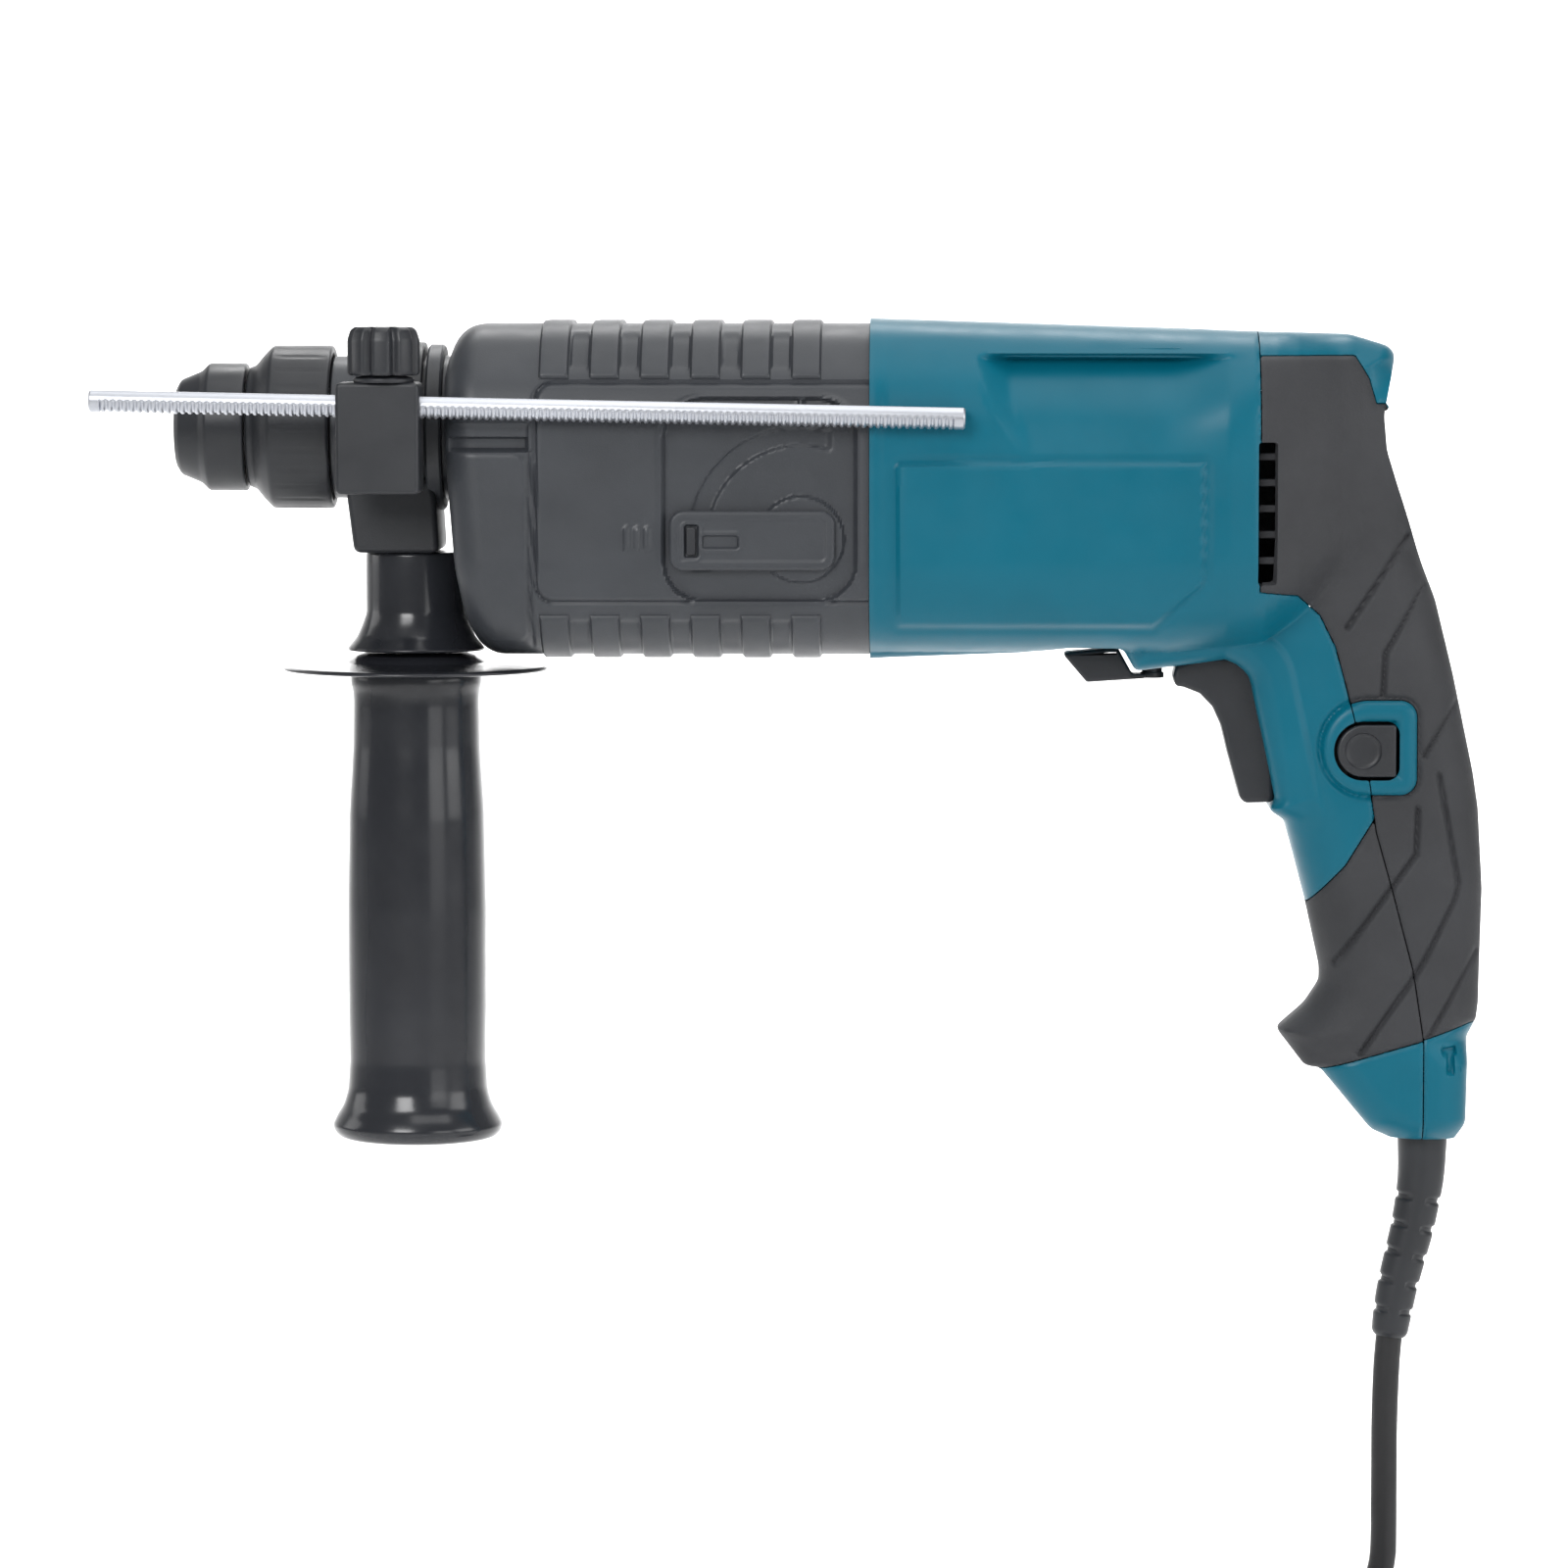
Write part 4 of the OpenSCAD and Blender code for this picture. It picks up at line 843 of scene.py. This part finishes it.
# The skin is cut where a field is zero: by the seam, by the two pads and by the openings.
def makeGrip():
    skin = makeGripSkin()
    p = skin[0]
    x, y, z = p.T
    behind = signed(x, z, behindSeam)
    front = signed(x, z, frontPad)
    back = signed(x, z, rearPad)
    onSide = y < -8
    back = np.where(onSide, np.maximum(back, -dShape(x, z, ringShape)), back)
    hole = np.where(onSide, dShape(x, z, button, button["gap"]), 1e3)
    slot = roundBox(x, z, -35.7, -42.8, -30.7, -3.5, 0.7)
    hole = np.minimum(hole, np.where(np.abs(y) > 15, slot, 1e3))
    for level in (12, -136, -187):
        well = np.hypot(y, z - level) - 3.6
        hole = np.minimum(hole, np.where(x > (-10 if level > 0 else 15), well, 1e3))
    # Opening for the trigger and the reversing lever on the front edge.
    hole = np.minimum(hole, np.maximum(np.abs(y) - 8.5, signed(x, z, triggerOpening)))
    # The seams are wider on the near side, so no light comes through both.
    gap = np.where(y < 0, grip["gap"], 0.3 * grip["gap"])
    wanted = [
        ("motorHousing", np.minimum(behind, front), ["motor_housing"], "teal_plastic"),
        ("frontGripPad", np.minimum(behind, -front), ["front_grip_pad"], "soft_rubber"),
        ("rearCover", np.minimum(-behind, back), ["rear_cover"], "teal_plastic"),
        ("rearGripPad", np.minimum(-behind, -back), ["rear_grip_pad"], "soft_rubber"),
    ]
    # Ribs stand back inside the air slots on both sides.
    ribs = [block((-35.6, side * 31 - 1.6, -37.2 + 7.2 * k), (-30.2, side * 31 + 1.6, -35.2 + 7.2 * k), 0.4, 0.4)
            for side in (-1, 1) for k in range(5)]
    # Plates inside close the view through the slots and past the lock button. They are dark rubber as painted shade
    # for the shaded inside.
    ribs += [block((-34.8, -1, -46), (-29.4, 1, 0), 0.6, 0.4), block((-9, -1, -100), (5, 1, -79), 0.6, 0.4)]
    for name, field, nodes, slotName in wanted:
        part = thickened(kept(skin, np.minimum(field, hole) - gap), grip["wall"])
        # Under the tail of the cover the wall stays inside the back edge.
        px, pz = part[0][:, 0], part[0][:, 2]
        backEdge = np.interp(pz, [3, 5, 7, 8], [1.3, 1.35, 1.7, 2.2])
        part[0][:, 0] = np.where((pz > 3) & (pz < 8), np.minimum(px, backEdge), px)
        if name == "rearGripPad":
            part = joined(part, *ribs)
        makePiece(name, part, "housing", nodes, slotName)


makeGrip()

# Gear housing with its neck, as rings from the joint to the nose

gear = {
    "half": 38.5, "top": 29.3, "bottom": -63.5, "round": 28.0, "front": -262, "joint": -143.65,
    "noseRound": 9.0, "fine": 0.62, "coarse": 1.7, "step": 0.62, "neck": 20.0,
}
pivot = {"x": -162.5, "z": -30.3}  # the mode lever turns here
pads = {"first": -235.3, "pitch": 14.0, "length": 8.4, "count": 6, "proud": 1.0, "topEnd": 13.9, "bottomEnd": -51.2}


# Points round a rectangle with rounded corners, closer together on the -Y side.
def gearSection():
    w, top, bottom, r = (gear[key] for key in ("half", "top", "bottom", "round"))
    pieces = [
        ((0, top), (-w + r, top)), ("arc", -w + r, top - r, 90, 180), ((-w, top - r), (-w, bottom + r)),
        ("arc", -w + r, bottom + r, 180, 270), ((-w + r, bottom), (w - r, bottom)),
        ("arc", w - r, bottom + r, 270, 360), ((w, bottom + r), (w, top - r)),
        ("arc", w - r, top - r, 0, 90), ((w - r, top), (0, top)),
    ]
    out = []
    for k, item in enumerate(pieces):
        step = gear["fine"] if k < 4 else gear["coarse"]
        if item[0] == "arc":
            n = int(r * math.pi / 2 / step)
            a = np.radians(np.linspace(item[3], item[4], n, endpoint=False))
            out.append(np.column_stack([item[1] + r * np.cos(a), item[2] + r * np.sin(a)]))
        else:
            a, b = np.array(item[0], float), np.array(item[1], float)
            n = max(2, int(np.linalg.norm(b - a) / step))
            out.append(a + (b - a) * np.linspace(0, 1, n, endpoint=False)[:, None])
    return np.vstack(out)


# Height changes on both sides, and the lever pocket on the -Y side alone.
def gearDetails(x, y, z):
    extra = np.zeros_like(x)
    side = smooth((np.abs(y) - 20) / 6)
    plate = roundBox(x, z, -236.2, -47.7, -100, 13.0, 5)
    extra += groove(plate, 0.9, 0.55) + 0.3 * smooth(-plate / 1.0)
    frontPlate = roundBox(x, z, -290, -60.0, -238.3, -6.2, 4)
    band = smooth((-237.8 - x) / 0.9) * smooth((z + 6.0) / 0.8)
    extra += 0.5 * smooth(-frontPlate / 0.9)
    extra -= 2.0 * band * smooth((-1.8 - z) / 0.8) + 0.8 * band * smooth((1.8 - z) / 0.8)
    extra += groove(np.where(z < -6, x + 237.6, 9), 0.8, 0.6)
    # The gaps between the rib pads are sunk, with a sloping end.
    phase = (x - pads["first"]) % pads["pitch"]
    between = smooth((phase - pads["length"]) / 0.6) * smooth((pads["pitch"] - phase) / 0.6)
    run = smooth((x - pads["first"]) / 1) * smooth((pads["first"] + 5.6 * pads["pitch"] - x) / 1)
    extra -= 1.2 * between * run * smooth((z - 15.5) / 3.0)
    extra -= 0.8 * between * run * smooth((-52.5 - z) / 1.2)
    pocket = roundBox(x, z, -200.5, -47.5, -147.2, 8.6, 11)
    near = y < 0
    out = np.hypot(x - pivot["x"], z - pivot["z"])
    arc = smooth((out - 25.6) / 0.8) * smooth((31.6 - out) / 0.8)
    arc *= smooth((pivot["x"] + 9 - x) / 2) * smooth((z - pivot["z"] + 9) / 2)
    floor = -2.3 - 0.9 * arc + 1.5 * smooth((12.4 - out) / 0.9)
    tick = roundBox(x, z, -163.1, 5.6, -161.9, 10.2, 0.3)
    floor = floor + 1.6 * smooth((0.5 - tick) / 0.6)
    extra = np.where(near, extra * smooth(pocket / 0.6) + floor * smooth(-pocket / 1.1 + 0.5), extra)
    extra += np.where(near, groove(pocket - 1.1, 0.25, 0.5), 0)
    for k in range(3):
        bar = roundBox(x, z, -211.6 + 2.9 * k, -33.2, -210.1 + 2.9 * k, -26.8, 0.5)
        extra += np.where(near, 0.5 * smooth((0.3 - bar) / 0.6), 0)
    return extra * side


# The section is run forwards, drawn in by a quarter circle at the nose and blended into the neck.
def makeGear():
    section = gearSection()
    inwards = unit(np.column_stack([-np.gradient(section[:, 1]), np.gradient(section[:, 0])]))
    if (inwards[0] @ [0, 1]) > 0:
        inwards = -inwards
    m = len(section)
    # The lower part of the nose leans back: how far each height stands behind the front.
    lean = np.interp(section[:, 1], [-63.5, -57, -40.4, -6, 19, 24, 29.3], [7, 5.2, 3.1, 0.2, 0, 0.6, 1.6])
    rings, r = [], gear["noseRound"]
    for x in np.arange(gear["joint"], gear["front"] + r, -gear["step"]):
        share = smooth((-x - 225) / 28)
        rings.append(np.column_stack([x + lean * share, section]))
    for a in np.linspace(0, math.pi / 2, 12):
        flat = section + inwards * (r * (1 - math.cos(a)))
        rings.append(np.column_stack([gear["front"] + r - r * math.sin(a) + lean, flat]))
    rest = section + inwards * r
    turn = np.arctan2(rest[:, 1], rest[:, 0])
    circle = np.column_stack([np.cos(turn), np.sin(turn)])
    for t in (0.3, 0.6, 0.85, 1.0):
        flat = rest * (1 - t) + circle * gear["neck"] * t
        rings.append(np.column_stack([gear["front"] + lean * (1 - t), flat]))
    neck = [(-263.3, 20.2), (-263.5, 20.8), (-263.5, 22.8), (-264.1, 23.4), (-267.4, 23.4), (-268, 22.8),
            (-268, 20.6), (-268.3, 20), (-281, 20), (-294.5, 20), (-295, 19.5), (-295, 15.6), (-294.4, 15),
            (-280, 15)]
    for x, radius in neck:
        rings.append(np.column_stack([np.full(m, x), circle * radius]))
    rings = np.stack(rings)
    x, y, z = rings[..., 0], rings[..., 1], rings[..., 2]
    body = smooth((x + 261) / 2)
    change = gearDetails(x, y, z) * body
    rings[..., 1] += np.sign(y) * change
    return outward(tubeOf(rings))


makePiece("gearHousing", makeGear(), "housing", ["gear_housing"], "gear_plastic", 32)


# Each pad is a patch over the top or under the bottom of the section, with soft edges.
def makePads():
    section = gearSection()
    ahead = np.roll(section, -1, 0) - np.roll(section, 1, 0)
    normal = unit(np.column_stack([ahead[:, 1], -ahead[:, 0]]))
    if normal[0] @ [0, 1] < 0:
        normal = -normal
    parts = []
    for low, high in ((pads["topEnd"], 99), (-99, pads["bottomEnd"])):
        inside = (section[:, 1] >= low) & (section[:, 1] <= high)
        start = int(np.argmax(inside & ~np.roll(inside, 1)))
        pick = (start + np.arange(inside.sum())) % len(section)
        way = runLength(section[pick])
        fromEnd = np.minimum(way, way[-1] - way)
        for k in range(pads["count"]):
            u = np.linspace(0, pads["length"], 15)
            fromSide = np.minimum(u, pads["length"] - u)
            rise = np.minimum(smooth(0.25 + fromEnd / 1.2)[None], smooth(0.25 + fromSide / 1.0)[:, None])
            lift = pads["proud"] * rise
            x = pads["first"] + pads["pitch"] * k + u
            spot = section[pick][None] + normal[pick][None] * lift[..., None]
            outer = np.stack([np.repeat(x[:, None], len(pick), 1), spot[..., 0], spot[..., 1]], -1)
            under = section[pick][None] - normal[pick][None] * 0.4
            under = np.repeat(under, len(u), 0)
            inner = np.stack([outer[..., 0], under[..., 0], under[..., 1]], -1)
            loop = np.concatenate([outer, inner[:, ::-1]], 1)
            parts.append(outward(tubeOf(loop)))
    return joined(*parts)


makePiece("ribPads", makePads(), "housing", ["rib_pads"], "gear_plastic", 45)
print("housings done")

# Tool holder end

toolAxis = (0, 0, 0)
noseCap = [(-332, 6.6), (-339, 7), (-339.6, 7.8), (-339.6, 11), (-338.2, 13.4), (-332.4, 15.8), (-330.2, 18),
           (-319.5, 18), (-319.5, 12.6), (-332, 12.6)]
makePiece("noseCap", turned(noseCap, "x", toolAxis, 128, 0.7), "spindle", ["nose_cap"], "black_plastic")


# Shallow grip flutes round the widest part of the sleeve.
def sleeveShape(angle, along, r):
    band = smooth((along + 311) / 1.5) * smooth((-297 - along) / 1.5) * (r > 22)
    return r - 0.2 * band * smooth((np.cos(angle * 24) - 0.75) / 0.2)


sleeve = [(-319, 12.6), (-319, 16.8), (-317, 17.4), (-314.5, 20.5), (-312, 23), (-295.6, 23), (-295, 22.4),
          (-295, 20.8), (-308.6, 20.8), (-308.6, 12.6)]
makePiece("releaseSleeve", turned(sleeve, "x", toolAxis, 192, 0.8, sleeveShape), "release_sleeve",
          ["release_sleeve"], "black_plastic")

# Side handle

handleAxis = (-272.2, 0, 0)
knobAxis = (-277.5, -44, 0)


# Band, clamp block, cheek and leg of the side handle, with the seat of the knob and its ribs.
def makeCollar():
    band = turned([(-287.4, 20.2), (-287.4, 24), (-269, 24), (-269, 20.2)], "x", toolAxis, 120, 0.7)
    clamp = block((-290.5, -50, -17.5), (-267.4, -32, 13.3), 1.6, 1.1)
    cheek = block((-287, -34, -13), (-269, -16, 11), 2.5, 1.5)
    leg = slab([(-289, -14), (-290.4, -19), (-288.4, -35), (-264.4, -35), (-265.4, -19), (-267, -14)],
               -16, 16, 2.4, 1.6)
    seat = turned([(13.2, 0.5), (13.2, 8.4), (14.4, 8.4), (15, 6.5), (15, 0.5)], "z", knobAxis, 48, 0.4)
    ribs = [block((-290.9, -49 + 3.2 * k, -15.5), (-290.2, -47.4 + 3.2 * k, -1), 0.3, 0.25) for k in range(5)]
    return joined(band, clamp, cheek, leg, seat, *ribs)


makePiece("handleCollar", makeCollar(), "handle_collar", ["handle_collar"], "black_plastic")
stem = [(-35.1, 0.3), (-35.1, 13.6), (-35.8, 14.1), (-52.4, 14.1), (-55.6, 15.2), (-59.2, 16.8), (-61.6, 18.8),
        (-62.4, 19.4), (-63, 19.2), (-63, 0.3)]
makePiece("handleStem", turned(stem, "z", handleAxis, 96, 1.0), "handle_collar", ["handle_stem"], "gloss_black")
guardDisc = [(-63.4, 9.2), (-63.6, 14), (-64.4, 16.6), (-66.4, 19.8), (-66.9, 26), (-67.5, 36.6), (-68, 37.5),
             (-68.5, 37.5), (-68.8, 36.8), (-68.6, 30), (-68.4, 14), (-68.4, 9.2), (-63.4, 9.2)]
makePiece("handGuard", turned(guardDisc, "z", handleAxis, 160, 0.4), "side_grip", ["hand_guard"], "gloss_black")
gripProfile = [(-64.1, 0.3), (-64.1, 8.7), (-68.5, 8.9), (-68.7, 17.9), (-70.2, 18.6), (-72.4, 18.6),
               (-74.6, 18), (-77.5, 17.8), (-90, 18), (-100, 18.6), (-110, 19.2), (-136, 19.7), (-165, 19.6),
               (-180, 19.4), (-188, 19.9), (-192.4, 21.2), (-195.6, 23.2), (-197.8, 24.2), (-199.4, 24),
               (-201.2, 22.6), (-202, 20), (-202, 12), (-201, 10), (-201, 0.3)]
makePiece("sideGrip", turned(gripProfile, "z", handleAxis, 144, 1.4), "side_grip", ["side_grip"], "gloss_black", 50)


# Eight lobes with narrow flutes between them.
def knobShape(angle, along, r):
    lobe = np.abs(np.cos(4 * angle))
    return np.where(r > 7.2, r - 1.7 * (1 - smooth(lobe / 0.75)), r)


knob = [(13.4, 0.3), (13.4, 6), (15.2, 6), (15.2, 9.4), (16, 10), (25, 10), (27.6, 9.2), (28.6, 8), (28.6, 6.4),
        (27.8, 5.8), (27.8, 0.3)]
makePiece("thumbKnob", turned(knob, "z", knobAxis, 160, 0.6, knobShape), "thumb_knob",
          ["thumb_knob"], "black_plastic")

rod = {"r": 3.3, "length": 242, "front": -359, "y": -44, "z": 6.7, "atX": -277, "tilt": 1.13, "pitch": 2.0,
       "tooth": 0.55}


# Round rod with a flat on top and fine teeth along its lower half.
def makeRod():
    t = np.linspace(0, rod["length"], int(rod["length"] / 0.25) + 1)
    tilt = math.radians(rod["tilt"])
    x = rod["front"] + t
    path = np.column_stack([x, np.full(len(t), rod["y"]), rod["z"] - (x - rod["atX"]) * math.tan(tilt)])
    wave = np.abs(((t / rod["pitch"]) % 1) - 0.5) * 2
    tooth = rod["tooth"] * smooth((0.62 - wave) / 0.35) * ((t > 3) & (t < rod["length"] - 3))
    ends = np.minimum(t, rod["length"] - t)
    taper = np.clip(0.45 - ends, 0, 0.45)

    def section(angle, row, r):
        # angle 0 points across, a quarter turn points along the other side direction
        up = np.cos(angle)
        low = smooth((0.05 - up) / 0.15)
        top = np.minimum(r, (rod["r"] - 0.5) / np.maximum(up, 0.05))
        return np.where(up > 0.05, top, r) - tooth[row] * low - taper[row]

    return carried(path, rod["r"], 44, up=(0, 0, 1), section=section)


makePiece("depthRod", makeRod(), "depth_rod", ["depth_rod"], "zinc_steel", 30)

# Controls


lever = {
    "box": (-199, -38.8, -153, -22.2), "corner": 4.0, "face": -38.7, "back": -36.35, "rim": 1.1, "step": 0.3,
    "window": (-194.7, -35.2, -190.9, -26.2), "slot": (-189.7, -32.6, -179.9, -29.2), "hub": 4.95,
}


# The plate is a height over a grid, cut at its outline, and the hub is turned.
def makeLever():
    left, low, right, high = lever["box"]
    x, z = np.meshgrid(np.arange(left - 1, right + 1, lever["step"]), np.arange(low - 1, high + 0.8, lever["step"]))
    outline = roundBox(x, z, *lever["box"], lever["corner"])
    window = roundBox(x, z, *lever["window"], 0.7)
    slot = roundBox(x, z, *lever["slot"], 0.6)
    # The face rises in a quarter circle from the edge, dips slightly inside its border, and has two sinks.
    rim = lever["rim"]
    face = lever["face"] - np.sqrt(np.maximum(rim**2 - np.clip(rim + outline, 0, rim)**2, 0))
    face += 0.25 * smooth((-outline - 2.2) / 0.8)
    face += 1.3 * smooth((0.15 - window) / 0.35) + 0.9 * smooth((0.15 - slot) / 0.35)
    face -= 0.2 * np.exp(-((slot - 0.8) / 0.4)**2) + 0.2 * np.exp(-((window - 0.8) / 0.4)**2)
    grid = np.stack([x, face, z], -1).reshape(-1, 3)
    skin = (grid, triangles(gridFaces(*x.shape, False)))
    plate = outward(thickened(kept(skin, -outline.ravel()), back=lever["back"]))
    hub = turned([(-37.2, 0.3), (-37.2, lever["hub"]), (-30.6, lever["hub"]), (-30.2, 4.5), (-30.2, 0.3)], "y",
                 (pivot["x"], 0, pivot["z"]), 48, 0.3)
    return joined(plate, hub)


makePiece("modeLever", makeLever(), "mode_lever", ["mode_lever"], "gear_plastic")
catch = slab([(-194.2, -34.6), (-191.6, -34.6), (-191.6, -26.8), (-194.2, -26.8)], -39.4, -38.0, 0.8, 0.4, 0.3)
makePiece("modeCatch", catch, "mode_catch", ["mode_catch"], "black_plastic")
triggerShape = [(-58.3, -69.9), (-57.6, -72.6), (-55.3, -72.9), (-50.7, -74.7), (-47, -78.6), (-44.7, -83.7),
                (-42.9, -91.1), (-39.2, -104.4), (-37.8, -105.6), (-29.6, -105.4), (-30.2, -92), (-32.5, -80),
                (-35, -64.2), (-50, -64.2), (-57.4, -66.6)]
makePiece("triggerBody", slab(triggerShape, -8, 8, 2.0, 1.3, 0.4), "trigger", ["trigger"], "black_plastic", 50)
reverser = joined(
    slab([(-89.6, -63.4), (-76, -62.2), (-73.6, -62.2), (-69.6, -69.4), (-66, -69.4), (-66, -70.6),
          (-82.5, -71.7)], -5.5, 5.5, 1.0, 0.9, 0.4),
    turned([(-70.6, 0.3), (-70.6, 3.4), (-69, 3.4), (-69, 2.9), (-57, 2.9), (-56.6, 0.3)], "z", (-64, 0, 0), 40, 0.2),
    block((-67, -3.4, -70.6), (-63.5, 3.4, -69.4), 0.4, 0.3),
)
makePiece("reversingLever", reverser, "reversing_lever", ["reversing_lever"], "black_plastic")


# Half a circle closed by a straight side, with a dish in its face.
def makeButton():
    turn = np.radians(np.linspace(90, 270, 25))
    left = [(button["x"] + button["r"] * math.cos(a), button["z"] + button["r"] * math.sin(a)) for a in turn]
    shape = left + [(button["side"], button["z"] - button["r"]), (button["side"], button["z"] + button["r"])]
    return slab(shape, -19.3, -14.6, 0.9, 0.7, 0.4, dish=(button["x"], button["z"], 5.0, 0.9))


makePiece("lockButton", makeButton(), "lock_button", ["lock_button"], "black_plastic")
print("controls done")
